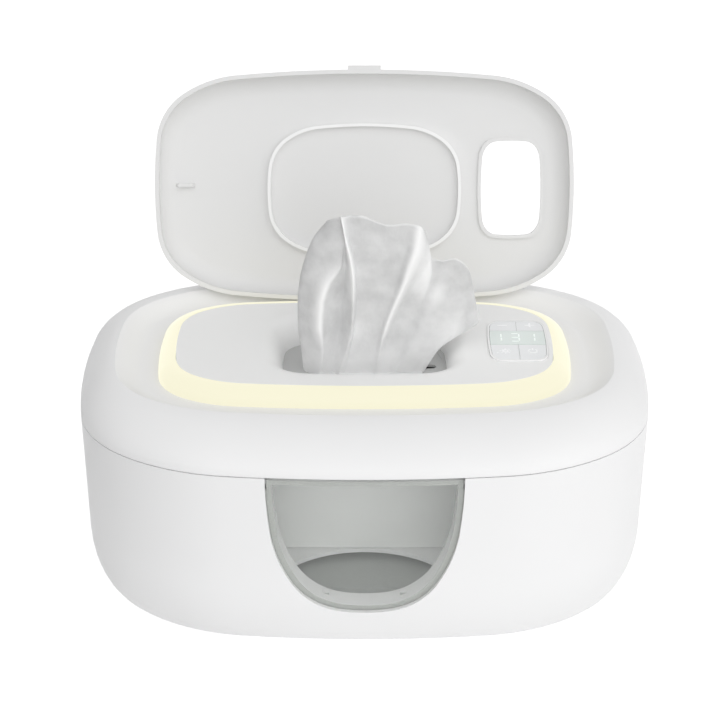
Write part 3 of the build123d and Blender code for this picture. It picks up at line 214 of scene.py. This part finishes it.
CLOTH_ROUGHNESS, CLOTH_SPECULAR = 0.9, 0.2
CLOTH_SHEEN, CLOTH_SHEEN_ROUGHNESS = 0.15, 0.5
WEAVE, WEAVE_HEIGHT, WEAVE_DETAIL, WEAVE_STRETCH = 900.0, 0.0002, 5.0, (1.0, 1.0, 0.35)
CREASES, CREASE_HEIGHT = 220.0, 0.0004
# Scale of the patches, and the share of the colour that the darkest of them keep.
DRY_MOTTLE = (30.0, 0.97)
WET_MOTTLE = (130.0, 0.84)


def cloth(name, colour, weave, mottle=DRY_MOTTLE):
    made = Material(name, colour, CLOTH_ROUGHNESS, CLOTH_SPECULAR)
    made.give("Sheen Weight", CLOTH_SHEEN)
    made.give("Sheen Roughness", CLOTH_SHEEN_ROUGHNESS)
    patches, shade = mottle
    made.vary_colour(patches, shaded(colour, shade))
    made.bump_noise(WEAVE, weave, WEAVE_HEIGHT, WEAVE_DETAIL, WEAVE_STRETCH)
    made.bump_noise(CREASES, weave, CREASE_HEIGHT)
    return made


# Pointiness is 0.5 on a flat face, less in a hollow and more on a ridge.
# The wipe gets painted shade in its hollows and a painted highlight on its ridges.
HOLLOW_START, HOLLOW_END, HOLLOW_PAINTED_SHADE = 0.497, 0.45, 0.86
RIDGE_HIGHLIGHT_START, RIDGE_HIGHLIGHT_END = 0.52, 0.62


def folded_cloth(name, colour, highlight_colour, weave):
    """Thin wet cloth with painted light: painted highlights at given places and on its ridges,
    painted shade down in its hollows.
    """
    made = cloth(name, colour, weave, WET_MOTTLE)
    bend = made.node("ShaderNodeNewGeometry").outputs["Pointiness"]
    painted_highlight = made.node("ShaderNodeAttribute", attribute_name="painted_highlight").outputs["Fac"]
    made.tint(made.span(bend, HOLLOW_START, HOLLOW_END), shaded(colour, HOLLOW_PAINTED_SHADE))
    made.tint(painted_highlight, highlight_colour)
    made.tint(made.span(bend, RIDGE_HIGHLIGHT_START, RIDGE_HIGHLIGHT_END), highlight_colour)
    return made


METAL_SMEARS, METAL_SMOOTHER, METAL_ROUGHER = 200.0, 0.06, 0.08
METAL_BRUSHING, METAL_STRETCH = (900.0, 0.1, 0.00005), (1.0, 8.0, 8.0)


def metal(name, colour, roughness):
    made = Material(name, colour, roughness)
    made.give("Metallic", 1.0)
    made.vary_roughness(METAL_SMEARS, roughness - METAL_SMOOTHER, roughness + METAL_ROUGHER)
    made.bump_noise(*METAL_BRUSHING, stretch=METAL_STRETCH)
    return made


GLOW_ROUGHNESS = 0.35
GLOW_GRAIN = (1500.0, 0.05, 0.00003)


def glowing(name, colour, strength, base):
    made = Material(name, base, GLOW_ROUGHNESS)
    made.give("Emission Color", opaque(colour))
    made.give("Emission Strength", strength)
    made.bump_noise(*GLOW_GRAIN)
    return made


CLEAR_WAVES = (120.0, 0.02, 0.0001)
# A face turned to the front has a normal with its Y near -1.
FRONT_START, FRONT_END = -0.4, -0.9


def clear(name, colour, alpha, roughness=0.08, painted_front_shade=None):
    """Clear plastic: see-through by its alpha, with a painted shade, a darker tint, on faces
    turned to the front.
    """
    made = Material(name, colour, roughness)
    made.give("Alpha", alpha)
    made.bump_noise(*CLEAR_WAVES)
    if painted_front_shade:
        normal = made.node("ShaderNodeNewGeometry").outputs["True Normal"]
        made.tint(made.span(made.axis(normal, "Y"), FRONT_START, FRONT_END), painted_front_shade)
    return made


SHELL = plastic("shell white", (0.92, 0.92, 0.922), 0.42, specular=0.25)
DECK = plastic("deck white", (0.95, 0.952, 0.945), 0.34)
LID = plastic("lid grey", (0.79, 0.79, 0.788), 0.5)
RIB = plastic("lid rib white", (0.95, 0.95, 0.95), 0.45)
TANK = plastic("tank grey", (0.90, 0.91, 0.90), 0.5)
TRAY = plastic("tray grey", (0.92, 0.93, 0.92), 0.5)
KEYS = plastic("key face", (0.93, 0.945, 0.955), 0.22, 0.02)
BEZEL = plastic("bezel", (0.96, 0.96, 0.96), 0.2, 0.02)
# Grey of the floor set into the gaps between the keys: a painted shade of the gap.
GROOVE_SHADE = plastic("key groove shade", (0.70, 0.71, 0.71), 0.5, 0.02)
DISPLAY = plastic("display face", (0.85, 0.92, 0.89), 0.18, 0.01)
SILICONE = plastic("silicone", (0.56, 0.565, 0.56), 0.6, 0.15)
RUBBER = plastic("foot rubber", (0.06, 0.06, 0.065), 0.75, 0.3)
BLACK = plastic("black plastic", (0.02, 0.02, 0.022), 0.45)
FOAM = plastic("foam", (0.55, 0.55, 0.53), 0.9, 0.6)
FILM = plastic("heater film", (0.50, 0.22, 0.05), 0.3)
BOARD = plastic("board green", (0.02, 0.13, 0.06), 0.35)
CHIP = plastic("light chip", (0.85, 0.75, 0.35), 0.4)
STEEL = metal("steel", (0.62, 0.62, 0.63), 0.3)
ALUMINIUM = metal("heater aluminium", (0.72, 0.73, 0.74), 0.4)
PAD = cloth("wet pad", (0.42, 0.44, 0.42), 0.8)
PACK = cloth("wipe pack", (0.95, 0.97, 0.945), 0.12)
# The wipe's second colour is that of its painted highlights.
WIPE = folded_cloth("wipe cloth", (0.76, 0.762, 0.763), (0.97, 0.97, 0.97), 0.7)
GLOW = glowing("ring glow", (1.0, 0.965, 0.73), 0.76, (0.17, 0.165, 0.13))
DIGIT = glowing("lit digit", (0.93, 1.0, 0.96), 0.62, (0.36, 0.38, 0.37))
ICON = glowing("lit sign", (0.97, 0.98, 1.0), 0.42, (0.50, 0.50, 0.50))
SEAMLINE = plastic("slit line", (0.46, 0.465, 0.46), 0.6, 0.02)
CLEAR = clear("window clear", (0.93, 0.95, 0.94), 0.06)
# The window frame's faces turned to the front get a darker grey-green painted shade.
FRAME = clear("window frame clear", (0.98, 0.99, 0.98), 0.80, 0.12, painted_front_shade=(0.50, 0.52, 0.49))

DRESS = {
    "lower_shell": SHELL, "upper_shell": SHELL, "base_plate": SHELL, "deck_panel": DECK,
    "lid_shell": LID, "lid_seal": RIB, "inner_tank": TANK, "cover_liner": TANK,
    "window_pane": CLEAR, "window_frame": FRAME, "wipe_tray": TRAY, "moisture_pad": PAD,
    "wipe_stack": PACK, "light_ring": GLOW, "control_bezel": BEZEL, "display_lens": DISPLAY,
    "display_module": BLACK, "key_minus": KEYS, "key_plus": KEYS, "key_light": KEYS,
    "key_power": KEYS, "key_switches": BLACK, "control_board": BOARD, "led_board": BOARD,
    "led_chips": CHIP, "main_board": BOARD, "board_components": BLACK, "dc_socket": BLACK,
    "thermistor": BLACK, "thermal_fuse": STEEL, "heater_plate": ALUMINIUM, "heater_film": FILM,
    "insulation_pad": FOAM, "rubber_feet": RUBBER, "rim_seal": SILICONE,
    "dispensing_membrane": SILICONE, "base_screws": STEEL, "board_screws": STEEL,
    "cover_screws": STEEL, "cover_hinge_pins": STEEL, "lid_hinge_pins": STEEL,
}

for name, look in DRESS.items():
    node = NODES[name]
    node.data.materials.clear()
    node.data.materials.append(look.material)


# ---------------------------------------------------------------- pieces
def add_mesh(name, vertices, faces, look):
    """A mesh given in millimetres."""
    mesh = bpy.data.meshes.new(name)
    mesh.from_pydata([tuple(c * MM for c in v) for v in vertices], [], faces)
    mesh.validate()
    mesh.update()
    mesh.materials.append(look.material)
    piece = bpy.data.objects.new(name, mesh)
    bpy.context.collection.objects.link(piece)
    return piece


def bar(name, path, width, z, thickness, look, body, closed=False):
    """Flat stroke with square ends along a path of (x, y), from height z upward."""
    count = len(path)
    vertices, faces = [], []
    for k, (x, y) in enumerate(path):
        if closed:
            (xa, ya), (xb, yb) = path[k - 1], path[(k + 1) % count]
        else:
            (xa, ya), (xb, yb) = path[max(k - 1, 0)], path[min(k + 1, count - 1)]
        turn = atan2(yb - ya, xb - xa)
        nx, ny = -sin(turn) * width / 2, cos(turn) * width / 2
        for side in (-1, 1):
            for level in (z, z + thickness):
                vertices.append((x + side * nx, y + side * ny, level))
    for k in range(count if closed else count - 1):
        a, b = 4 * k, 4 * ((k + 1) % count)
        faces += [(a + 1, a + 3, b + 3, b + 1), (a, b, b + 2, a + 2),
                  (a, a + 1, b + 1, b), (a + 2, b + 2, b + 3, a + 3)]
    if not closed:
        end = 4 * (count - 1)
        faces += [(0, 2, 3, 1), (end, end + 1, end + 3, end + 2)]
    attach(add_mesh(name, vertices, faces, look), body)


# ---- digits and signs of the control panel, set into its face ----
# Places are (across, back) from the panel's middle.
SIGN_Z, SIGN_DEEP = PANEL_TOP - 0.1, 0.12
DIGIT_WIDTH, DIGIT_HEIGHT, DIGIT_STROKE = 4.1, 8.6, 0.65
# Share of its length that a segment stops short of each corner.
SEGMENT_GAP = 0.12
SEGMENTS = {"1": "bc", "3": "abgcd"}
DIGITS = [("1", (-7.9, 3.1)), ("3", (-1.2, 3.1)), ("1", (8.4, 3.1))]
MINUS, PLUS, SIGN_REACH = (-6.8, 16.8), (6.7, 16.8), 2.4
SUN, SUN_RADIUS, SUN_POINTS = (-6.6, -12.1), 1.2, 24
RAYS, RAY_START, RAY_END = 8, 1.9, 2.8
POWER, POWER_RADIUS, POWER_OPENING, RING_STEPS = (6.6, -12.1), 2.1, 60, 24
DASH_START, DASH_END = 0.8, 3.0
WIDE_STROKE, MIDDLE_STROKE, FINE_STROKE = 0.8, 0.7, 0.5
# The plus sign's second stroke lies this much higher, so that the two don't share a face.
CROSSING_LIFT = 0.02
TURN, UP = 360, 90


def on_panel(place):
    return PANEL_MIDDLE[X] + place[X], PANEL_MIDDLE[Y] + place[Y]


def moved(place, across=0.0, back=0.0):
    return place[X] + across, place[Y] + back


def round_point(centre, radius, degrees):
    return moved(centre, radius * cos(radians(degrees)), radius * sin(radians(degrees)))


def digit(figure, place):
    """A digit made of segments; a 1 stands in the middle of its place."""
    x, y = on_panel(place)
    w, h = DIGIT_WIDTH / 2, DIGIT_HEIGHT / 2
    lines = {"a": ((-w, h), (w, h)), "b": ((w, h), (w, 0)), "c": ((w, 0), (w, -h)),
             "d": ((-w, -h), (w, -h)), "g": ((-w, 0), (w, 0))}
    shift = -w if figure == "1" else 0.0
    for part in SEGMENTS[figure]:
        (xa, ya), (xb, yb) = lines[part]
        path = [(x + shift + xa + (xb - xa) * t, y + ya + (yb - ya) * t)
                for t in (SEGMENT_GAP, 1 - SEGMENT_GAP)]
        bar(f"digit_{figure}_{part}_{round(x * 10)}", path, DIGIT_STROKE, SIGN_Z, SIGN_DEEP,
            DIGIT, "cover")


def sign(name, path, width, body, lift=0.0, closed=False):
    bar(f"sign_{name}", [on_panel(place) for place in path], width, SIGN_Z + lift, SIGN_DEEP,
        ICON, body, closed)


for figure, place in DIGITS:
    digit(figure, place)

both_ways = (-SIGN_REACH, SIGN_REACH)
sign("minus", [moved(MINUS, across=d) for d in both_ways], WIDE_STROKE, "key_minus")
sign("plus_across", [moved(PLUS, across=d) for d in both_ways], WIDE_STROKE, "key_plus")
sign("plus_along", [moved(PLUS, back=d) for d in both_ways], WIDE_STROKE, "key_plus",
     lift=CROSSING_LIFT)

sun_ring = [round_point(SUN, SUN_RADIUS, TURN * k / SUN_POINTS) for k in range(SUN_POINTS)]
sign("sun_disc", sun_ring, MIDDLE_STROKE, "key_light", closed=True)
for k in range(RAYS):
    ray = [round_point(SUN, radius, TURN * k / RAYS) for radius in (RAY_START, RAY_END)]
    sign(f"sun_ray_{k}", ray, FINE_STROKE, "key_light")

power_ring = [round_point(POWER, POWER_RADIUS, UP + POWER_OPENING / 2
                          + (TURN - POWER_OPENING) * k / RING_STEPS)
              for k in range(RING_STEPS + 1)]
sign("power_ring", power_ring, MIDDLE_STROKE, "key_power")
sign("power_dash", [moved(POWER, back=d) for d in (DASH_START, DASH_END)], MIDDLE_STROKE,
     "key_power")

# ---- painted shade of the groove between the keys: a grey floor set into it, in front of the display and behind it ----
GROOVE_Z, GROOVE_DEEP, GROOVE_WIDTH = PANEL_TOP - 0.35, 0.1, 0.3
# It runs a little past the keys toward the display, and stops short of their far ends.
GROOVE_PAST, GROOVE_SHORT = 0.05, 0.15
front_key, back_key = reach("key_light", Y), reach("key_minus", Y)
groove_ends = {-1: (front_key[0] + GROOVE_SHORT, front_key[1] + GROOVE_PAST),
               1: (back_key[0] - GROOVE_PAST, back_key[1] - GROOVE_SHORT)}
for side, ends in groove_ends.items():
    bar(f"key_groove_shade_{side}", [(PANEL_MIDDLE[X], y) for y in ends], GROOVE_WIDTH, GROOVE_Z,
        GROOVE_DEEP, GROOVE_SHADE, "cover")

# ---- lines of the slit's flaps on the membrane ----
FLAP_XS = (-25.0, 6.0, 37.0)
# A line's two ends, as places from its x and from the slit.
FLAP_NEAR, FLAP_FAR = (1.0, 8.0), (-2.0, 19.0)
FLAP_Z, FLAP_DEEP, FLAP_WIDTH = MEMBRANE_TOP - 0.02, 0.06, 0.45
for side in (-1, 1):
    for k, x in enumerate(FLAP_XS):
        path = [(x + side * across, side * back) for across, back in (FLAP_NEAR, FLAP_FAR)]
        bar(f"slit_line_{side}_{k}", path, FLAP_WIDTH, FLAP_Z, FLAP_DEEP, SEAMLINE, "cover")

# ---- the wipe ----
# Lines over the pulled-up cloth, left to right, from just above the slit to the free edge.
# A point is (across, height, depth), and depth is how far the cloth bulges to the front.
LEFT_WRAP = [(-26, 106, -4), (-27, 118, -6), (-28, 130, -8), (-27, 141, -9), (-24, 152, -9),
             (-20, 161, -8), (-16, 168, -7), (-13, 173, -6)]
LEFT_EDGE = [(-29, 103, 3), (-30.5, 115, 3), (-32, 128.5, 3), (-32, 141.5, 3),
             (-31, 152, 3), (-28.5, 163, 3), (-24, 174.5, 3), (-18.2, 182, 3)]
LEFT_PANEL = [(-25.5, 105, 8), (-26, 118, 9), (-27, 131, 9.5), (-26.5, 143, 9.5),
              (-25, 154, 9.5), (-21, 165.5, 9.5), (-17, 176, 9), (-14, 186.5, 8.5)]
LEFT_RIDGE = [(-21.5, 107, 11.5), (-20.5, 119, 13), (-21.5, 131.5, 14), (-21, 143, 14),
              (-18, 154, 13.5), (-11.5, 164.5, 12.5), (-10.5, 176.5, 11.5), (-11.5, 188, 10.5)]
LEFT_FACE = [(-20, 106, 9.5), (-18.5, 118, 10.5), (-18, 130, 11), (-17, 141.5, 11),
             (-14.5, 152.5, 10.5), (-10.5, 163, 11), (-10, 177, 11.8), (-11.5, 188, 10.8)]
POCKET = [(-16, 104.5, 7), (-14, 116, 7), (-12, 128.5, 7), (-11, 139.5, 7),
          (-10, 151, 7.5), (-9, 162.5, 10.5), (-9.5, 177, 12.2), (-11.5, 188.5, 11.2)]
MIDDLE_RIDGE = [(-12, 107, 11.5), (-8.5, 119.5, 13), (-6, 133, 14), (-5.5, 144.5, 14.5),
                (-5.5, 156, 15), (-6.5, 166.5, 15), (-9, 178, 14.5), (-11, 189, 13)]
MIDDLE_FACE = [(-9.5, 106, 10), (-6.5, 119, 11), (-4.5, 132, 11.5), (-3.5, 143, 11.5),
               (-3.5, 154.5, 11.5), (-4, 165, 11.5), (-6.5, 176.5, 11), (-7, 188.5, 10)]
MIDDLE_PANEL = [(-5, 106, 10), (-2, 119, 11), (0.5, 132, 12), (2, 143.5, 12),
                (3, 154.5, 12), (3, 165, 12), (1.5, 177, 12), (-1.5, 189.5, 12.5)]
PANEL_RIGHT = [(0.5, 106.5, 10.5), (2.5, 119.5, 12), (5.5, 132.5, 13), (8, 144, 13),
               (10.5, 155, 13), (12, 165.5, 13), (12.5, 176.5, 13), (11, 185, 13)]
RIGHT_SHADE = [(4, 106.5, 11), (5.5, 119.5, 13), (8, 132.5, 14), (11.5, 144, 14.5),
               (15, 154.5, 14.5), (17.5, 165, 14.5), (19.5, 175.5, 14), (19.5, 186, 13.5)]
RIGHT_RIDGE = [(6, 107, 12), (7.5, 121, 14.5), (10.5, 133.5, 16), (14.5, 145, 16.5),
               (18.5, 155.5, 17), (21.5, 165, 17), (24.5, 174, 16), (26, 185, 14.5)]
RIGHT_TURN = [(9.5, 106, 10), (10, 119.5, 11.5), (13, 131.5, 12), (17.5, 142.5, 12),
              (22.5, 152, 11), (28.5, 160, 9.5), (31, 167, 9.5), (29, 178.5, 10.5)]
VALLEY = [(13, 105.5, 8.5), (16.5, 115.5, 9), (20, 125.5, 9), (24, 135.5, 9),
          (27.5, 144, 9), (30.5, 151.5, 8.5), (32, 158.5, 8.5), (32.5, 165.5, 8.5)]
RIGHT_FOLD = [(16, 106, 9.5), (21.5, 117.5, 11), (26, 127.5, 11), (30, 136, 11),
              (33, 144.5, 11), (35, 152.5, 10), (36.5, 159.5, 10), (37, 165.5, 10)]
RIGHT_LOBE = [(19.5, 105.5, 9), (25.5, 116.5, 10.5), (31.5, 126.5, 10.5), (35.5, 135, 10.5),
              (39.5, 143, 10), (41.5, 151, 8.5), (42.5, 159, 9.5), (42.5, 167, 11)]
LOBE_EDGE = [(23, 105.5, 8.5), (29.5, 115.5, 9), (36, 125, 9), (41, 133, 9),
             (44.5, 140.5, 8.5), (48, 147, 7), (49.5, 153.5, 7.5), (49.5, 160.5, 9)]
LOW_EDGE = [(26, 105, 7.5), (31.5, 113.5, 7.5), (38, 121, 7.5), (43.5, 127, 7),
            (48, 133, 6.5), (50.5, 138.5, 6), (52, 144, 6), (52, 149.5, 6.5)]
RIGHT_EDGE = [(28.5, 104.5, 6), (32.5, 111.5, 6), (36.5, 117.5, 6), (42.5, 122, 5.5),
              (47.5, 125, 5), (51.5, 127.5, 4.5), (54, 129, 4), (55.5, 131, 4)]
FOLD_LINES = [LEFT_WRAP, LEFT_EDGE, LEFT_PANEL, LEFT_RIDGE, LEFT_FACE, POCKET, MIDDLE_RIDGE,
              MIDDLE_FACE, MIDDLE_PANEL, PANEL_RIGHT, RIGHT_SHADE, RIGHT_RIDGE, RIGHT_TURN,
              VALLEY, RIGHT_FOLD, RIGHT_LOBE, LOBE_EDGE, LOW_EDGE, RIGHT_EDGE]
# Painted highlights where the wet cloth's folds catch the light: the fold line by its place in
# the list, the reach to its left and right, the lowest and highest share of the rise, strength.
PAINTED_HIGHLIGHTS = [
    (3.0, 0.55, 0.35, 0.42, 0.84, 1.0),
    (6.0, 0.50, 0.50, 0.62, 1.10, 1.0),
    (7.0, 0.90, 1.20, 0.30, 0.66, 0.45),
    (11.0, 0.35, 0.60, 0.42, 1.10, 1.0),
    (12.2, 1.00, 1.00, 0.70, 1.00, 0.9),
    (14.0, 0.60, 0.50, 0.64, 0.90, 0.6),
    (17.5, 2.20, 1.50, 0.25, 0.76, 0.7),
    (9.0, 14.0, 14.0, -0.2, 0.54, 0.55),
]
# Over this share of the rise a painted highlight comes in at its lower and upper end.
PAINTED_HIGHLIGHT_FADE = 0.12
WIPE_BOTTOM = 100.5
WIPE_THICKNESS = 0.5
# Where the leftmost and the rightmost of the lines pass the slit.
NECK_LEFT, NECK_RIGHT = -22.2, 27.5
# The cloth's way up through the slit to the foot of a fold line: its height, its share of the
# way across from the slit to the foot, its share of the foot's depth, and what comes on top.
NECK = [(WIPE_BOTTOM, 0.0, 0.0, 0.0), (MEMBRANE_TOP - 0.2, 0.0, 0.1, 0.0),
        (MEMBRANE_TOP + 0.8, 0.0, 0.55, 0.0), (MEMBRANE_TOP + 0.9, 0.5, 1.0, 3.0)]
COLUMNS, ROWS = 210, 96


def with_neck(line):
    """The line led down from its first point through the slit."""
    x, _, depth = line[0]
    share = (x - RIGHT_EDGE[0][0]) / (LEFT_EDGE[0][0] - RIGHT_EDGE[0][0])
    neck = NECK_RIGHT + (NECK_LEFT - NECK_RIGHT) * min(share, 1.0)
    return [(neck + (x - neck) * across, height, depth * deep + extra)
            for height, across, deep, extra in NECK] + line


def slope(before, here, after):
    """Slope that keeps a curve through three values free of overshoot."""
    first, second = here - before, after - here
    if first * second <= 0:
        return 0.0
    return 2 * first * second / (first + second)


def glide(values, place):
    """Smooth curve through equally spaced values, at a place counted in steps."""
    last = len(values) - 1
    k = min(int(place), last - 1)
    t = place - k
    a, b = values[k], values[k + 1]
    leave = slope(values[k - 1], a, b) if k > 0 else b - a
    arrive = slope(a, b, values[k + 2]) if k + 2 <= last else b - a
    return ((1 + 2 * t) * (1 - t) ** 2 * a + t * (1 - t) ** 2 * leave
            + t * t * (3 - 2 * t) * b + t * t * (t - 1) * arrive)


def glide_point(points, place):
    return tuple(glide([p[axis] for p in points], place) for axis in range(3))


def fade(distance):
    """0 outside a painted highlight, and 1 from PAINTED_HIGHLIGHT_FADE inside it."""
    return min(max(distance / PAINTED_HIGHLIGHT_FADE, 0.0), 1.0)


def painted_highlight_strength(line, rise):
    """How strong the painted highlight is at a place counted in fold lines and a share of its
    rise.
    """
    most = 0.0
    for middle, left, right, low, high, strength in PAINTED_HIGHLIGHTS:
        reach = left if line < middle else right
        across = exp(-((line - middle) / reach) ** 2)
        most = max(most, strength * across * fade(rise - low) * fade(high - rise))
    return most


def build_wipe():
    lines = [with_neck(line) for line in FOLD_LINES]
    vertices, painted_highlight = [], []
    for r in range(ROWS):
        height = r / (ROWS - 1)
        row = [glide_point(line, height * (len(line) - 1)) for line in lines]
        for k in range(COLUMNS):
            place = k / (COLUMNS - 1) * (len(row) - 1)
            x, z, depth = glide_point(row, place)
            vertices.append((x, -depth, z))
            painted_highlight.append(painted_highlight_strength(place, height))
    starts = [r * COLUMNS + k for r in range(ROWS - 1) for k in range(COLUMNS - 1)]
    faces = [(a, a + 1, a + COLUMNS + 1, a + COLUMNS) for a in starts]
    piece = add_mesh("pulled_wipe", vertices, faces, WIPE)
    # Each vertex keeps the strength of its painted highlight.
    layer = piece.data.attributes.new("painted_highlight", "FLOAT", "POINT")
    layer.data.foreach_set("value", painted_highlight)
    thick = piece.modifiers.new("thickness", "SOLIDIFY")
    thick.thickness = WIPE_THICKNESS * MM
    thick.offset = 0.0
    applied = piece.evaluated_get(bpy.context.evaluated_depsgraph_get())
    piece.data = bpy.data.meshes.new_from_object(applied)
    piece.modifiers.clear()
    piece.data.shade_smooth()
    return piece


wipe = build_wipe()
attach(wipe, "cover")
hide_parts("top_wipe")
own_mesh(wipe)

# ---- even shading of the CAD's faces ----
WELD_DISTANCE = 1e-6
CRISP_ANGLE = radians(24.0)


def even_shading(node):
    """Rounded faces shade evenly and edges stay crisp; the vertices are left alone."""
    node.data.shade_smooth()
    weld = node.modifiers.new("weld", "WELD")
    weld.merge_threshold = WELD_DISTANCE
    split = node.modifiers.new("crisp edges", "EDGE_SPLIT")
    split.split_angle = CRISP_ANGLE
    split.use_edge_sharp = False
    node.modifiers.new("even shading", "WEIGHTED_NORMAL")


for name in DRESS:
    even_shading(NODES[name])

# ---------------------------------------------------------------- stage
# The floor looks white. It lights the part more weakly, and not at all from the left, which
# keeps that side of the part darker.
FLOOR_SIZE = 6.0
FLOOR_GREY, FLOOR_ROUGHNESS = (0.35, 0.35, 0.35), 0.8
FLOOR_SEEN = 0.86
FLOOR_GLOW_LEFT, FLOOR_GLOW = 0.0, 0.51
FLOOR_DARK_X, FLOOR_LIT_X = -0.5, 0.0
# The world's light by height and from left to right: places from -1 to 1, and greys.
UPWARD_LIGHT = [(-1.0, 1.0), (0.25, 1.0), (0.6, 0.8), (1.0, 0.18)]
SIDEWAYS_LIGHT = [(-1.0, 0.0), (-0.3, 0.0), (0.0, 0.62), (0.3, 0.97), (1.0, 0.45)]
# Between these two heights left and right stop mattering.
EVEN_START, EVEN_END = 0.1, 0.65
# Soft lights in the world: direction, how near to that direction they start, and strength.
FRONT_LIGHT = ((0.06, -0.82, 0.5), 0.3, 0.86)
SIDE_LIGHT = ((0.72, -0.50, 0.48), 0.5, 0.19)
WORLD_STRENGTH = 0.96
# The camera stands at the photograph's viewing angle.
PITCH = radians(26.0)
DISTANCE = 1.250
AIM = Vector((-0.0022, 0.0, 0.108))
LENS, SENSOR = 128.0, 36.0


def floor_material():
    made = Material("floor", FLOOR_GREY, FLOOR_ROUGHNESS, specular=0.0)
    from_left = made.axis(made.coordinates, "X")
    lit = made.span(from_left, FLOOR_DARK_X, FLOOR_LIT_X, FLOOR_GLOW_LEFT, FLOOR_GLOW)
    made.give("Emission Color", WHITE)
    made.give("Emission Strength", made.span(made.background_rays(), 0.0, 1.0, lit, FLOOR_SEEN))
    return made


def build_floor():
    half = FLOOR_SIZE / 2
    corners = [(-half, -half, 0), (half, -half, 0), (half, half, 0), (-half, half, 0)]
    mesh = bpy.data.meshes.new("floor")
    mesh.from_pydata(corners, [], [(0, 1, 2, 3)])
    mesh.materials.append(floor_material().material)
    floor = bpy.data.objects.new("floor", mesh)
    bpy.context.collection.objects.link(floor)
    return floor


def add_soft_light(studio, direction, total, light):
    """Adds a glow that grows from its start to full in the light's direction."""
    toward, start, level = light
    facing = studio.node("ShaderNodeVectorMath", operation="DOT_PRODUCT")
    studio.feed(facing.inputs[0], direction)
    studio.feed(facing.inputs[1], Vector(toward).normalized())
    glow = studio.grey_ramp(facing.outputs["Value"], [(-1.0, 0.0), (start, 0.0), (1.0, 1.0)])
    return studio.mix(level, total, glow, "ADD")


def light_world():
    """The world lights the part softly, and shows white where it is seen itself."""
    world = bpy.data.worlds.new("studio")
    bpy.context.scene.world = world
    world.use_nodes = True
    studio = ShaderTree(world.node_tree)
    direction = studio.node("ShaderNodeTexCoord").outputs["Generated"]
    height = studio.axis(direction, "Z")
    upward = studio.grey_ramp(height, UPWARD_LIGHT)
    sideways = studio.grey_ramp(studio.axis(direction, "X"), SIDEWAYS_LIGHT)
    evenly = studio.span(height, EVEN_START, EVEN_END, easing="SMOOTHSTEP")
    total = studio.mix(1.0, upward, studio.mix(evenly, sideways, WHITE), "MULTIPLY")
    for light in (FRONT_LIGHT, SIDE_LIGHT):
        total = add_soft_light(studio, direction, total, light)
    lighting = studio.tree.nodes["Background"]
    studio.feed_all(lighting, Color=total, Strength=WORLD_STRENGTH)
    backdrop = studio.node("ShaderNodeBackground")
    studio.feed_all(backdrop, Color=WHITE, Strength=1.0)
    chosen = studio.node("ShaderNodeMixShader")
    sources = (studio.background_rays(), lighting.outputs[0], backdrop.outputs[0])
    for target, source in zip(chosen.inputs, sources):
        studio.feed(target, source)
    studio.feed(studio.tree.nodes["World Output"].inputs["Surface"], chosen.outputs[0])


def place_camera():
    data = bpy.data.cameras.new("camera")
    data.lens = LENS
    data.sensor_width = SENSOR
    camera = bpy.data.objects.new("camera", data)
    camera.location = AIM + DISTANCE * Vector((0.0, -cos(PITCH), sin(PITCH)))
    camera.rotation_euler = (pi / 2 - PITCH, 0.0, 0.0)
    bpy.context.collection.objects.link(camera)
    bpy.context.scene.camera = camera


floor = build_floor()
light_world()
place_camera()
bpy.context.scene.view_settings.view_transform = "Standard"
